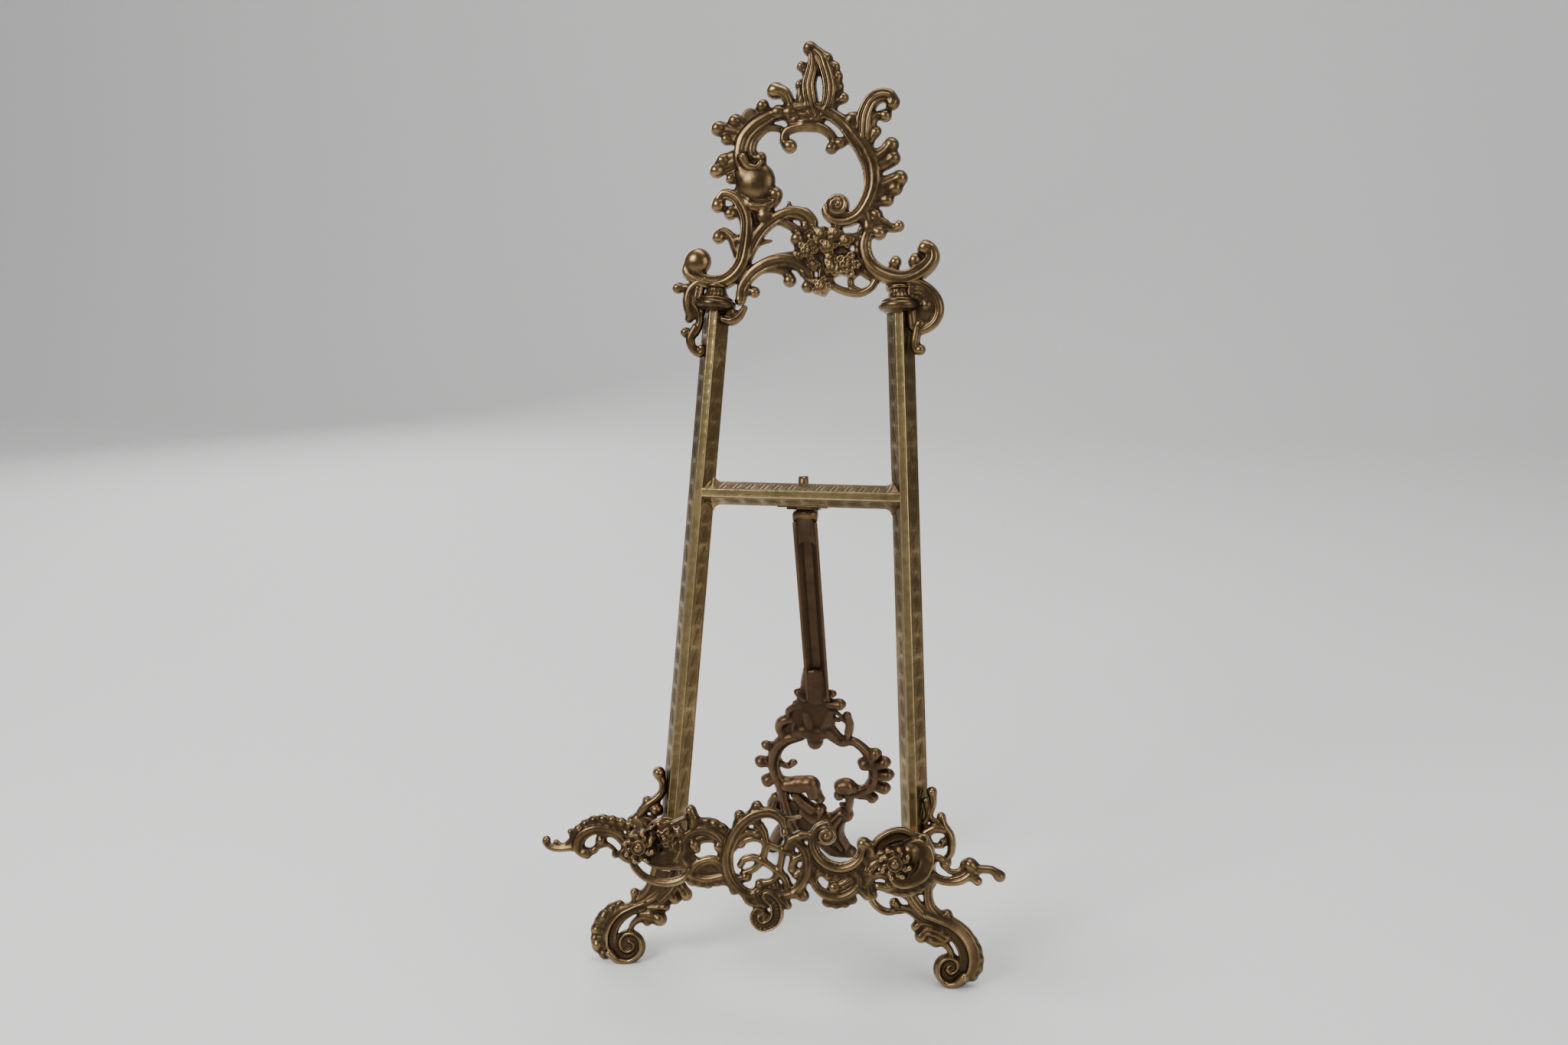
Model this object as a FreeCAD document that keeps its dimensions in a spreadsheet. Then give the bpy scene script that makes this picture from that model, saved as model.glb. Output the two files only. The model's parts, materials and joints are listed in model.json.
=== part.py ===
"""Rococo table easel in cast brass, built to hold a photo album.

Everything is laid out in the plane of the back frame first: x runs across,
"rise" runs up along the leaning frame and "out" runs forward, square to it.
The frame then leans back about the line where its plane meets the ground.
The rear leg has the same kind of layout along its own slope.
Millimetres, +Z up, front towards -Y, origin under the middle of the stand.
"""
import FreeCAD, Part
import math
import os
import Sketcher
from FreeCAD import Placement, Rotation, Vector

DIMENSIONS = [
    ("lean_angle", 13.0, "back frame from the vertical, degrees"),
    ("leg_angle", 20.0, "rear leg from the vertical, degrees"),
    ("splay_angle", 3.3, "each upright from the middle line, degrees"),
    ("origin_shift", 45.37, "from the frame's ground line to the middle of the footprint"),
    ("moulding_width", 15.0, "upright and crossbar moulding, across the back"),
    ("moulding_face", 3.8, "width of the moulding's front facet"),
    ("moulding_depth", 9.0, "back of the moulding to its front facet"),
    ("moulding_wall", 1.8, "thickness of the hollow-backed moulding"),
    ("upright_base", 52.0, "rise of the uprights' lower ends"),
    ("upright_top", 366.0, "rise of the uprights' upper ends"),
    ("upright_gap", 51.2, "middle line to upright at the collars"),
    ("collar_rise", 368.5, "rise of the middle of the collars"),
    ("collar_radius", 11.5, "outer radius of the collars"),
    ("capital_top", 380.0, "rise of the capitals' upper ends"),
    ("crossbar_rise", 263.5, "rise of the crossbar's centre line"),
    ("crossbar_width", 13.0, "height of the crossbar"),
    ("plug_length", 12.0, "solid boss inside a moulding, for a screw"),
    ("crest_back", 0.0, "out of the crest's back face"),
    ("crest_front", 8.0, "out of the crest's front face"),
    ("foot_back", -3.0, "out of the feet's back face"),
    ("foot_front", 11.0, "out of the feet's front face"),
    ("leaf_back", 1.0, "out of the side leaves' back face"),
    ("leaf_front", 9.0, "out of the side leaves' front face"),
    ("arm_root_rise", 72.0, "rise of the arm cups"),
    ("arm_radius", 4.5, "radius of the shelf arms"),
    ("cup_radius", 12.0, "rim radius of the arm cups"),
    ("cup_depth", 9.0, "how far the arm cups stand off the uprights"),
    ("rail_back", 72.0, "out of the front rail's back face"),
    ("rail_front", 80.0, "out of the front rail's front face"),
    ("rosette_rise", 80.0, "rise of the rosettes"),
    ("rosette_gap", 66.0, "middle line to rosette"),
    ("rosette_radius", 8.0, "radius of the rosettes over their petals"),
    ("rosette_depth", 10.0, "thickness of the rosettes"),
    ("heart_radius", 4.4, "raised middle of a rosette"),
    ("petal_radius", 2.6, "each petal of a rosette"),
    ("stud_radius", 2.0, "threaded studs of the arms and rosettes"),
    ("tie_radius", 1.6, "tie rods of the crest and hinge screws"),
    ("nut_across", 9.0, "nut width between opposite flats"),
    ("nut_height", 3.5, "nut thickness"),
    ("hinge_rise", 260.4, "rise of the hinge pin"),
    ("hinge_back", 7.6, "hinge pin behind the back of the crossbar"),
    ("pin_radius", 2.0, "hinge pin"),
    ("pin_clearance", 0.05, "running clearance round the hinge pin"),
    ("lug_thickness", 4.6, "each of the two hinge lugs"),
    ("lug_radius", 5.0, "outer radius of the hinge lugs"),
    ("knuckle_width", 8.6, "leg knuckle between the lugs"),
    ("knuckle_gap", 0.2, "side clearance of the knuckle in the lugs"),
    ("leg_width", 13.0, "rear leg across"),
    ("leg_face", 6.0, "back facet of the rear leg"),
    ("leg_depth", 8.0, "rear leg front to back"),
    ("leg_wall", 1.8, "thickness of the rear leg's hollow moulding"),
    ("leg_base", 128.0, "lower end of the leg moulding, above the ground along the leg"),
    ("leg_start", 12.0, "upper end of the leg moulding below the hinge pin"),
    ("rear_foot_back", 3.5, "half thickness of the rear foot"),
]

# Small fixed details of the design, in millimetres unless named otherwise.
COLLAR_BEAD = 2.5
DRUM_INSET = 1.7
FLARE_HEIGHT = 4.4
NECK_RADIUS = 5.0
TOP_BEAD = 1.3
CREST_SPLIT = 414.0
CREST_REACH = 200.0
PLATE_REACH = 20.0
TIE_GRIP = 3.5
STUD_GRIP = 10.0
HUB_RADIUS = 9.0
CUP_BASE = 6.0
CUP_WALL = 1.6
CUP_FLOOR = 3.0
ARM_BOW = 4.0
BOSS_RADIUS = 6.4
PETALS = 8
PLATE_HALF = 14.0
PLATE_THICKNESS = 2.0
PLATE_FOOT = 256.5
PLATE_BRIDGE = 258.5
PLATE_TOP = 267.5
HINGE_SCREW_GAP = 11.6
HINGE_SCREW_RISE = 264.5
SCREW_HEAD = 2.6
PIN_HEAD = 2.8
STOP_GAP = 0.04
STOP_TOP = 272.5
FINGER_HALF = 2.5
FINGER_DEPTH = 4.0
NECK_DEPTH = 3.4
TENON_LENGTH = 40.0
TENON_HALF = 2.6
TENON_FRONT = 2.6
FOOT_TENON_TOP = 150.0
RIVET_RADIUS = 1.2
RIVET_HEAD = 2.2
HEAD_RIVETS = [234.0, 246.0]
FOOT_RIVETS = [134.0, 144.0]
SIDES = ((-1, "left"), (1, "right"))

doc = FreeCAD.newDocument("album_stand")
sheet = doc.addObject("Spreadsheet::Sheet", "dims")
size = {}
for row, (alias, value, note) in enumerate(DIMENSIONS, start=1):
    sheet.set("A%d" % row, note)
    sheet.set("B%d" % row, str(value))
    sheet.setAlias("B%d" % row, alias)
    size[alias] = value
doc.recompute()

nodes = []


# ---------------------------------------------------------------- layouts

FRAME_LEAN = Rotation(Vector(1, 0, 0), -size["lean_angle"])
FRAME = Placement(Vector(0, -size["origin_shift"], 0), FRAME_LEAN)
LEG_LEAN = Rotation(Vector(1, 0, 0), size["leg_angle"])


def at(x, out, rise):
    """Point of the frame's layout: across, forward and up."""
    return Vector(x, -out, rise)


HINGE = FRAME.multVec(at(0, -size["hinge_back"], size["hinge_rise"]))
LEG_LENGTH = HINGE.z / math.cos(math.radians(size["leg_angle"]))
LEG_TOE = Vector(0, HINGE.y + HINGE.z * math.tan(math.radians(size["leg_angle"])), 0)
LEG = Placement(LEG_TOE, LEG_LEAN)


def upright_gap(rise):
    """Distance of an upright's centre line from the middle, at a rise."""
    slope = math.tan(math.radians(size["splay_angle"]))
    return size["upright_gap"] + (size["collar_rise"] - rise) * slope


def upright_placement(side, rise):
    """Layout whose z runs up an upright; side is -1 for left and 1 for right."""
    base = size["upright_base"]
    splay = Rotation(Vector(0, 1, 0), -side * size["splay_angle"])
    foot = Placement(at(side * upright_gap(base), 0, base), splay)
    return foot.multiply(Placement(Vector(0, 0, rise - base), Rotation()))


def capital_placement(side, rise):
    """On an upright's axis, halfway through its depth."""
    half_depth = Placement(at(0, size["moulding_depth"] / 2, 0), Rotation())
    return FRAME.multiply(upright_placement(side, rise)).multiply(half_depth)


OUTWARDS = Rotation(Vector(1, 0, 0), 90)
SIDEWAYS = Rotation(Vector(0, 1, 0), 90)


# ------------------------------------------------------------ small tools

ON_AXIS = (0.0, None)


def negative(term):
    """The mirrored coordinate."""
    return -term[0], "-(%s)" % term[1]



def terms(*pairs):
    """Sum of factor x dimension, as a value and as an expression."""
    value = sum(factor * size[alias] for factor, alias in pairs)
    expression = " + ".join("%g * dims.%s" % pair for pair in pairs)
    return value, expression


def plane_of(body, role):
    for feature in body.Origin.OriginFeatures:
        if feature.Role == role:
            return feature
    raise ValueError(role)


def new_sketch(body, name, role="XY_Plane"):
    sketch = body.newObject("Sketcher::SketchObject", name)
    sketch.AttachmentSupport = [(plane_of(body, role), "")]
    sketch.MapMode = "FlatFace"
    return sketch


def add_polygon(sketch, corners):
    """Closed outline whose corner coordinates are bound to the sheet."""
    spots = [Vector(x[0], y[0], 0) for x, y in corners]
    count = len(spots)
    for i in range(count):
        sketch.addGeometry(Part.LineSegment(spots[i], spots[(i + 1) % count]), False)
    for i in range(count):
        sketch.addConstraint(Sketcher.Constraint("Coincident", i, 2, (i + 1) % count, 1))
    for i, corner in enumerate(corners):
        for kind, (value, expression) in zip(("DistanceX", "DistanceY"), corner):
            if expression is None:
                sketch.addConstraint(Sketcher.Constraint("PointOnObject", i, 1, -1))
                continue
            index = sketch.addConstraint(Sketcher.Constraint(kind, i, 1, value))
            sketch.setExpression("Constraints[%d]" % index, expression)


def add_circle(sketch, radius_alias, shift=None):
    """Circle round the sketch's origin, or shifted along its x axis."""
    centre = Vector(shift[0] if shift else 0, 0, 0)
    circle = Part.Circle(centre, Vector(0, 0, 1), size[radius_alias])
    geometry = sketch.addGeometry(circle, False)
    if shift:
        sketch.addConstraint(Sketcher.Constraint("PointOnObject", geometry, 3, -1))
        index = sketch.addConstraint(Sketcher.Constraint("DistanceX", geometry, 3, shift[0]))
        sketch.setExpression("Constraints[%d]" % index, shift[1])
    else:
        sketch.addConstraint(Sketcher.Constraint("Coincident", geometry, 3, -1, 1))
    index = sketch.addConstraint(Sketcher.Constraint("Radius", geometry, size[radius_alias]))
    sketch.setExpression("Constraints[%d]" % index, "dims." + radius_alias)


def add_pad(body, name, sketch, length, downwards=False):
    pad = body.newObject("PartDesign::Pad", name)
    pad.Profile = sketch
    pad.Length = length[0]
    pad.setExpression("Length", length[1])
    pad.Reversed = downwards
    return pad


def keep(label, item):
    """Name a finished sub-part and list it."""
    item.Label = label
    nodes.append(item)
    return item


def keep_shape(label, shape, placement):
    """A free-form sub-part: its own outline, then its place."""
    item = doc.addObject("Part::Feature", label + "_shape")
    item.Shape = shape
    item.Placement = placement
    return keep(label, item)


def round_bar(name, radius_alias, length, placement):
    """Cylinder whose radius and length are bound to the sheet."""
    bar = doc.addObject("Part::Cylinder", name)
    bar.Radius = size[radius_alias]
    bar.setExpression("Radius", "dims." + radius_alias)
    bar.Height = length[0]
    bar.setExpression("Height", length[1])
    bar.Placement = placement
    return bar


def bar_out(name, radius_alias, length, start):
    """Round bar pointing forward, square to the frame."""
    return round_bar(name, radius_alias, length, FRAME.multiply(Placement(start, OUTWARDS)))


def bar_up(name, radius_alias, length, side, rise):
    """Round bar running up the axis of an upright."""
    return round_bar(name, radius_alias, length, capital_placement(side, rise))


def tool_shape(name, shape, placement):
    """A free-form block used only to cut another piece."""
    item = doc.addObject("Part::Feature", name)
    item.Shape = shape
    item.Placement = placement.multiply(shape.Placement)
    return item


def fuse_of(name, items):
    joined = doc.addObject("Part::MultiFuse", name)
    joined.Shapes = items
    return joined


def cut_by(name, base, tools):
    cut = doc.addObject("Part::Cut", name)
    cut.Base = base
    cut.Tool = tools[0] if len(tools) == 1 else fuse_of(name + "_tools", tools)
    return cut


def rod(radius, start, end):
    """Round bar between two points."""
    return Part.makeCylinder(radius, (end - start).Length, start, end - start)


def curve(points):
    if len(points) == 2:
        return Part.LineSegment(points[0], points[1]).toShape()
    spline = Part.BSplineCurve()
    spline.interpolate(points)
    return spline.toShape()


def ribbon(width, points):
    """Flat strip with round ends along a smooth centre line."""
    line = [Vector(x, 0, z) for x, z in points]
    last = len(line) - 1
    half = width / 2.0
    left, right = [], []
    for i, spot in enumerate(line):
        along = (line[min(i + 1, last)] - line[max(i - 1, 0)]).normalize()
        across = Vector(-along.z, 0, along.x) * half
        left.append(spot + across)
        right.append(spot - across)
    head = line[last] + (line[last] - line[last - 1]).normalize() * half
    tail = line[0] - (line[1] - line[0]).normalize() * half
    edges = [
        curve(left),
        Part.Arc(left[-1], head, right[-1]).toShape(),
        curve(right[::-1]),
        Part.Arc(right[0], tail, left[0]).toShape(),
    ]
    return Part.Face(Part.Wire(edges))


def disc(radius, x, z):
    ring = Part.Circle(Vector(x, 0, z), Vector(0, 1, 0), radius)
    return Part.Face(Part.Wire(ring.toShape()))


def casting(strokes, knobs, back, front):
    """Openwork plate of strokes and round knobs between two depths."""
    faces = [ribbon(width, points) for width, points in strokes]
    faces += [disc(radius, x, z) for radius, x, z in knobs]
    flat = faces[0].multiFuse(faces[1:]).removeSplitter()
    flat.translate(Vector(0, -back, 0))
    plates = [face.extrude(Vector(0, back - front, 0)) for face in flat.Faces]
    solid = plates[0]
    if len(plates) > 1:
        solid = plates[0].multiFuse(plates[1:]).removeSplitter()
    return solid


def upright_hull(side):
    """The full outer block of an upright, without its hollow."""
    half = size["moulding_width"] / 2.0
    face = size["moulding_face"] / 2.0
    depth = size["moulding_depth"]
    corners = [Vector(-half, 0, 0), Vector(-face, -depth, 0), Vector(face, -depth, 0),
               Vector(half, 0, 0), Vector(-half, 0, 0)]
    block = Part.Face(Part.makePolygon(corners))
    block = block.extrude(Vector(0, 0, size["upright_top"] - size["upright_base"]))
    block.Placement = upright_placement(side, size["upright_base"])
    return block


def above_ground(shape, placement):
    """File a casting flat where it meets the ground."""
    reach = 300.0
    block = Part.makeBox(2 * reach, 2 * reach, reach, Vector(-reach, -reach, -reach))
    block.Placement = placement.inverse()
    return shape.cut(block)


# ----------------------------------------------- outlines of the castings
# A stroke is a width and the points of its centre line (across, rise);
# a knob is a radius and its centre.

CREST_STROKES = [
    # plume
    (4, [(-3, 480), (-2, 490), (0, 498), (0, 507)]),
    (4, [(8, 478), (8, 485), (7, 492), (4, 498), (2, 504)]),
    (5, [(-4, 480), (-5, 490), (-4, 497), (-7, 500)]),
    (5, [(8, 480), (13, 486), (14, 494), (11, 501), (6, 504)]),
    (4, [(8, 476), (13, 480), (16, 482)]),
    # upper left scroll and its pouch
    (7, [(-21, 474), (-26, 470), (-32, 467), (-37.5, 460.5), (-39.5, 453), (-38, 445), (-31, 440)]),
    (4, [(-18, 466), (-24, 466), (-29.5, 463), (-33, 457), (-32, 450), (-28.5, 448.5)]),
    (8, [(-4, 470), (-11, 472), (-19, 474)]),
    # top ridge running down into the big right scroll
    (6, [(-10, 475), (-2, 476), (6, 474.5), (13, 471), (19, 466), (24, 460), (28, 455), (31, 449)]),
    (8, [(31, 450), (34, 443), (34.5, 436), (33, 429), (29, 421), (22, 415.5), (15, 416)]),
    (5, [(-12, 456), (-15, 460), (-13, 464.5), (-6, 466.5), (3, 466), (10, 462.5), (12, 456)]),
    # right plume
    (6, [(29, 453), (28, 461), (28.5, 469), (32, 479), (38, 483), (44, 480)]),
    (6, [(31, 459), (33, 468), (37, 473), (40, 473)]),
    (4, [(30, 451), (27, 456), (21, 458.5), (17, 457.5)]),
    (5, [(33, 449), (39, 453), (44, 456.5)]),
    (5, [(35, 446), (40, 448), (45, 449)]),
    (6, [(34, 430), (42, 431), (49, 437)]),
    (5, [(32, 421), (37, 420), (43, 425)]),
    # left lobes
    (5, [(-36, 463), (-45, 462), (-53, 465)]),
    (5, [(-34, 466), (-39, 469), (-43.5, 470)]),
    (5, [(-38, 444), (-45, 444), (-53, 443)]),
    (5, [(-13, 476), (-13.5, 482), (-17, 487), (-22, 488)]),
    # cup under the pouch
    (6, [(-30, 439), (-32, 431), (-36, 427)]),
    (6, [(-38, 427), (-32, 423.5), (-25, 423), (-20, 427)]),
    # left stems
    (8, [(-60, 394), (-65, 391), (-64, 385), (-57, 380.5), (-49, 380.5), (-42, 384), (-37, 391),
         (-35, 400), (-34, 411), (-36, 421), (-42, 428), (-49, 429), (-51, 424)]),
    (5, [(-35, 405), (-37, 415), (-41, 420), (-44, 419)]),
    (5, [(-37, 391), (-41, 401), (-46, 408), (-50, 406.5)]),
    (7, [(-37, 387), (-32, 399), (-27, 409), (-18, 417), (-8, 420), (2, 416)]),
    (5, [(-18, 415), (-11, 412), (-7, 406)]),
    (4, [(-14, 419), (-11.5, 424)]),
    (5, [(-4, 419), (1, 414), (2, 406)]),
    # lower stem
    (7, [(-37.5, 374), (-35, 381), (-28, 387.5), (-18, 391.5), (-8, 392), (-1, 387), (1, 379)]),
    (5, [(-24, 388), (-15, 388), (-10, 382)]),
    (4, [(-18, 391), (-13, 396), (-8, 397)]),
    (5, [(-38, 379), (-36, 374.5), (-30, 375)]),
    # flower cluster and its vine
    (8, [(-4, 394), (1, 398), (8, 404), (15, 407), (20, 403)]),
    (10, [(12, 404), (13, 395), (17, 389), (22, 389)]),
    (6, [(1, 392), (8, 390), (14, 390)]),
    (6, [(13, 390), (9, 384), (8, 378)]),
    (6, [(8, 379), (15, 377), (22, 376), (29, 375), (35, 378), (38, 383)]),
    (5, [(23, 389), (27, 396), (28, 404), (28, 411)]),
    (6, [(14, 417), (21, 411), (29, 409), (36, 413)]),
    # lower right scroll
    (8, [(37, 408), (33, 403), (32, 396), (36, 389), (43, 385), (52, 383), (60, 385), (67, 390),
         (69, 396), (65, 400)]),
    (5, [(30, 412), (39, 414), (44, 411), (50, 411)]),
    (5, [(37, 387), (32, 387), (28, 392), (27, 400), (28, 410)]),
]
CREST_KNOBS = [
    (3.4, -3, 509), (2.6, 4, 505), (2.4, -8, 500.5), (2.6, 9, 504), (2.4, 17, 482.5),
    (7, -29, 438), (4.5, -19, 474.5), (6.4, 15.5, 423), (3.4, -12, 455.5), (3.2, 11.5, 454.5),
    (3.4, 44.5, 479), (2.6, 41, 472), (3, 35, 465), (3, 22.5, 467.5), (2.5, 16, 457),
    (3, 44.5, 456.5), (3, 45.5, 449), (3.2, 50, 438), (3, 44, 426), (3, -53, 466), (3, -44, 470.5),
    (2.6, -49, 459), (3.2, -53.5, 443), (3.2, -50, 448), (3.2, -23, 488), (3, -28, 476),
    (3, -39.5, 432), (3.6, -19.5, 429.5), (4.6, -25, 418), (6, -62, 395.5), (3.6, -51, 423),
    (3, -45, 418), (3, -51, 405.5), (3.6, -6.5, 404.5), (2.8, 1.5, 404.5), (3, 0.5, 377.5),
    (3, -10, 381), (2.6, -29, 375), (4.6, 0, 398), (5.6, 22.5, 390), (3.6, 15, 408), (5, 8, 378),
    (3.4, 40, 408), (3.6, 64, 400.5), (3, 59.5, 392), (3.2, 48, 390.5), (2.6, 50.5, 411),
]

# Left and right are cast alike but not as mirror images.
FOOT_STROKES = {
    "left_foot": [
        (7, [(-72, 62), (-71, 52), (-72.5, 43), (-77, 36), (-84, 31.5), (-93, 27.5), (-100.5, 22),
             (-104.5, 14), (-103, 6), (-97, 2)]),
        (5, [(-76, 60), (-79, 50), (-82, 39), (-88, 33)]),
        (6, [(-103, 22), (-108, 15), (-108, 8)]),
        (5, [(-92, 12), (-91, 19), (-86, 23), (-79, 26), (-74, 27)]),
        (4, [(-87, 31), (-90, 37)]),
        (7, [(-74, 42), (-67, 37), (-60, 38)]),
        (5, [(-68, 58), (-76, 70), (-82, 74), (-93, 78)]),
        (6, [(-76, 71), (-82, 80), (-79, 90), (-76, 97), (-78, 106)]),
        (4, [(-80, 86), (-88, 84), (-88, 89)]),
        (6, [(-64, 60), (-58, 66), (-57, 77), (-57.5, 85)]),
    ],
    "right_foot": [
        (7, [(66, 62), (66, 50), (69, 41), (75, 33.5), (84, 29.5), (91, 25.5), (95.5, 18), (96, 10),
             (92, 3)]),
        (5, [(72, 60), (75, 50), (76.5, 43), (82, 34.5)]),
        (7, [(86, 32), (96, 27), (101, 18), (101, 8), (97, 2)]),
        (5, [(88, 12), (87, 19), (82, 23), (73, 24)]),
        (4, [(82, 33), (86, 37)]),
        (7, [(71, 38), (68, 30), (66, 27)]),
        (6, [(66, 47), (58, 41), (50, 40), (46, 45), (45, 53)]),
        (6, [(70, 62), (80, 66), (88, 72), (88, 79), (84, 87), (80, 90)]),
        (6, [(72, 80), (78, 85), (77, 93), (76, 100), (79, 104)]),
        (4, [(84, 70), (82, 77)]),
    ],
}
FOOT_KNOBS = {
    "left_foot": [
        (8.4, -93, 8), (3.4, -111, 13), (3.4, -109.5, 6.5), (3, -109, 21), (3, -104, 27),
        (2.8, -90.5, 37.5), (2.6, -72, 29.5), (3, -75, 21.5), (3, -82, 20), (4, -67, 35.5),
        (3.2, -59, 38), (3, -78.5, 107), (2, -93, 78), (1.8, -88, 89.5), (3.4, -57.7, 86),
        (3, -57, 79), (7, -69, 66),
    ],
    "right_foot": [
        (8, 88, 7.6), (3, 78, 53), (3, 86.5, 37.5), (2.6, 68.5, 27.5), (3, 73, 22), (3.4, 80, 21),
        (3.4, 58, 41.5), (3, 79.5, 104), (2.4, 84, 89), (2.4, 82, 77), (7, 69, 66),
    ],
}

SIDE_LEAF_STROKES = {
    "left_side_leaf": [
        (4, [(-61.5, 378), (-65.5, 375.5), (-66.5, 368), (-65, 360), (-63.5, 353), (-64.5, 346),
             (-61.5, 341.5), (-57, 341)]),
        (3.4, [(-67, 373), (-72, 374), (-73, 377)]),
        (3, [(-65, 368), (-61.5, 363), (-60, 357), (-63, 352)]),
        (3, [(-64, 350), (-68, 352)]),
        (5, [(-47, 359), (-42, 360), (-37.5, 363.5)]),
        (3.4, [(-40, 361), (-36, 362), (-34, 366)]),
    ],
    "right_side_leaf": [
        (4.4, [(61, 379.5), (68, 375.5), (72, 369), (72, 362), (67, 356), (61, 354.5), (60.5, 350),
               (61, 345)]),
        (3.6, [(61, 358), (66, 359), (69.5, 362)]),
        (4, [(64, 376), (67, 370), (66, 368)]),
    ],
}
SIDE_LEAF_KNOBS = {
    "left_side_leaf": [(3, -73, 376.5), (1.8, -66, 359.5), (2.4, -68, 352.5), (2.6, -58, 343.5),
                       (3, -42.5, 363.5)],
    "right_side_leaf": [(2.6, 62, 358), (2.6, 66, 368), (2.4, 63, 344.5)],
}

RAIL_STROKES = [
    # cartouche: two facing scrolls with latticework between them
    (5, [(8.5, 94), (7, 98), (1, 101), (-5, 100.5), (-12, 96), (-17, 89), (-20, 81), (-20.5, 73),
         (-18, 66), (-13, 60.5), (-7, 58.5), (-4, 62)]),
    (5, [(8.5, 85), (13, 87.5), (18, 83.5), (20, 77), (19.5, 69), (16, 61.5), (10, 57.5), (4, 59)]),
    (3.4, [(-10, 95), (-4.5, 91.5), (-2, 85), (-3, 77), (-7, 70.5), (-13, 67)]),
    (3.4, [(-16.5, 82), (-13, 85), (-8, 86), (-2, 85)]),
    (3.4, [(-15, 73.5), (-10, 75.5), (-4, 74), (2, 70.5), (7, 67), (10, 61)]),
    (3.4, [(-2, 84), (7, 80.5), (8.5, 85)]),
    (3.4, [(8, 80), (6, 73), (3, 67), (-2, 64)]),
    (4, [(8, 93), (13, 91), (21, 92)]),
    # shell on top of the cartouche
    (7, [(2, 102), (0.5, 107), (4, 110)]),
    (5, [(8, 101), (9, 106), (13, 105), (17, 101), (24, 97)]),
    (5, [(-9, 99), (-8, 103)]),
    (5, [(-15, 93), (-18, 96)]),
    # drop scroll below
    (5, [(-2, 56), (3, 55), (5.5, 50), (3, 44), (-2, 42.5), (-5, 46)]),
    (5, [(-8, 59), (-9, 52), (-6, 48)]),
    (4, [(13, 59), (18, 58)]),
    # scrolls of the right half
    (6, [(28, 92), (23.5, 87), (24, 80), (29, 75.5), (36, 74), (43, 76.5), (48, 82), (48.5, 87)]),
    (5, [(18, 64), (24, 66), (28, 61), (34, 58), (41, 60), (45, 66), (46, 70)]),
    (6, [(26, 72), (36, 70), (46, 71), (52, 80)]),
    (5, [(50, 84), (54, 88), (60, 92.5), (67, 95), (73, 93), (78, 88)]),
    (5, [(50, 80), (58, 81), (66, 80)]),
    (5, [(52, 66), (50, 72), (56, 71), (64, 70), (72, 66), (80, 68), (86, 75), (86, 83), (82, 90)]),
    (5, [(46, 66), (53, 64)]),
    (4, [(53, 66), (54, 58), (60, 54), (68, 56)]),
    (6, [(86, 82), (87, 75), (92, 71), (99, 71), (103, 75), (104, 80)]),
    (4, [(89, 82), (92, 77), (98, 77), (101, 81)]),
    (4, [(104, 79), (110, 77.5), (116, 77)]),
    # scrolls of the left half
    (6, [(-27, 82), (-27.5, 87), (-33, 91), (-40, 90), (-45, 84), (-45, 77), (-41, 70), (-34, 71)]),
    (6, [(-26, 90), (-19, 90)]),
    (4, [(-24, 70), (-31, 72.5), (-38, 68.5)]),
    (4, [(-39, 67), (-33, 63.5), (-26, 64), (-21, 68)]),
    (5, [(-72, 70), (-69, 65), (-62, 61.5), (-53, 61.5), (-46, 64.5), (-42, 70)]),
    (6, [(-66, 71), (-56, 69), (-47, 71), (-44, 76)]),
    (8, [(-66, 80), (-60, 88), (-52, 90), (-44, 94), (-39, 98)]),
    (8, [(-58, 78), (-50, 80), (-46, 84)]),
    (6, [(-67, 74), (-75, 78), (-80, 85), (-89, 88.5), (-97, 86), (-102, 80), (-101, 74), (-96, 73)]),
    (4, [(-92, 82), (-86, 84), (-80, 81), (-76, 75)]),
    (4, [(-95, 74), (-91, 79), (-86, 78.5), (-82, 74)]),
    (4.4, [(-102, 76), (-108, 75.5), (-115, 75), (-118, 78.5)]),
    (3.4, [(-104, 77), (-106, 82)]),
    (3.4, [(-75, 91), (-79, 86)]),
]
RAIL_KNOBS = [
    (2.6, 8, 91), (2.6, 9, 85), (2.6, -4, 62), (2.6, 3, 60.5), (2.4, -7, 104), (2.4, -17, 98),
    (3.4, -3, 46.5), (2.4, 11, 54.5), (2.6, 18, 58), (5.4, 28, 90.5), (3.8, 47, 87.5),
    (2.8, 65.5, 58), (4.4, 103, 80), (3, 117, 75.5), (2.4, 105.5, 70.5), (2.4, 100, 81),
    (2.6, -27, 81), (3.2, -38, 64.5), (3.4, -42, 99), (4.4, -98, 73.5), (2.6, -91.5, 81.5),
    (3.4, -76, 73), (2.4, -82, 73.5), (2.4, -117, 78), (2, -113, 77.5), (2, -106.5, 83.5),
    (7.6, -66, 80), (7.6, 66, 80), (2.6, -75, 91.5),
]

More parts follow.
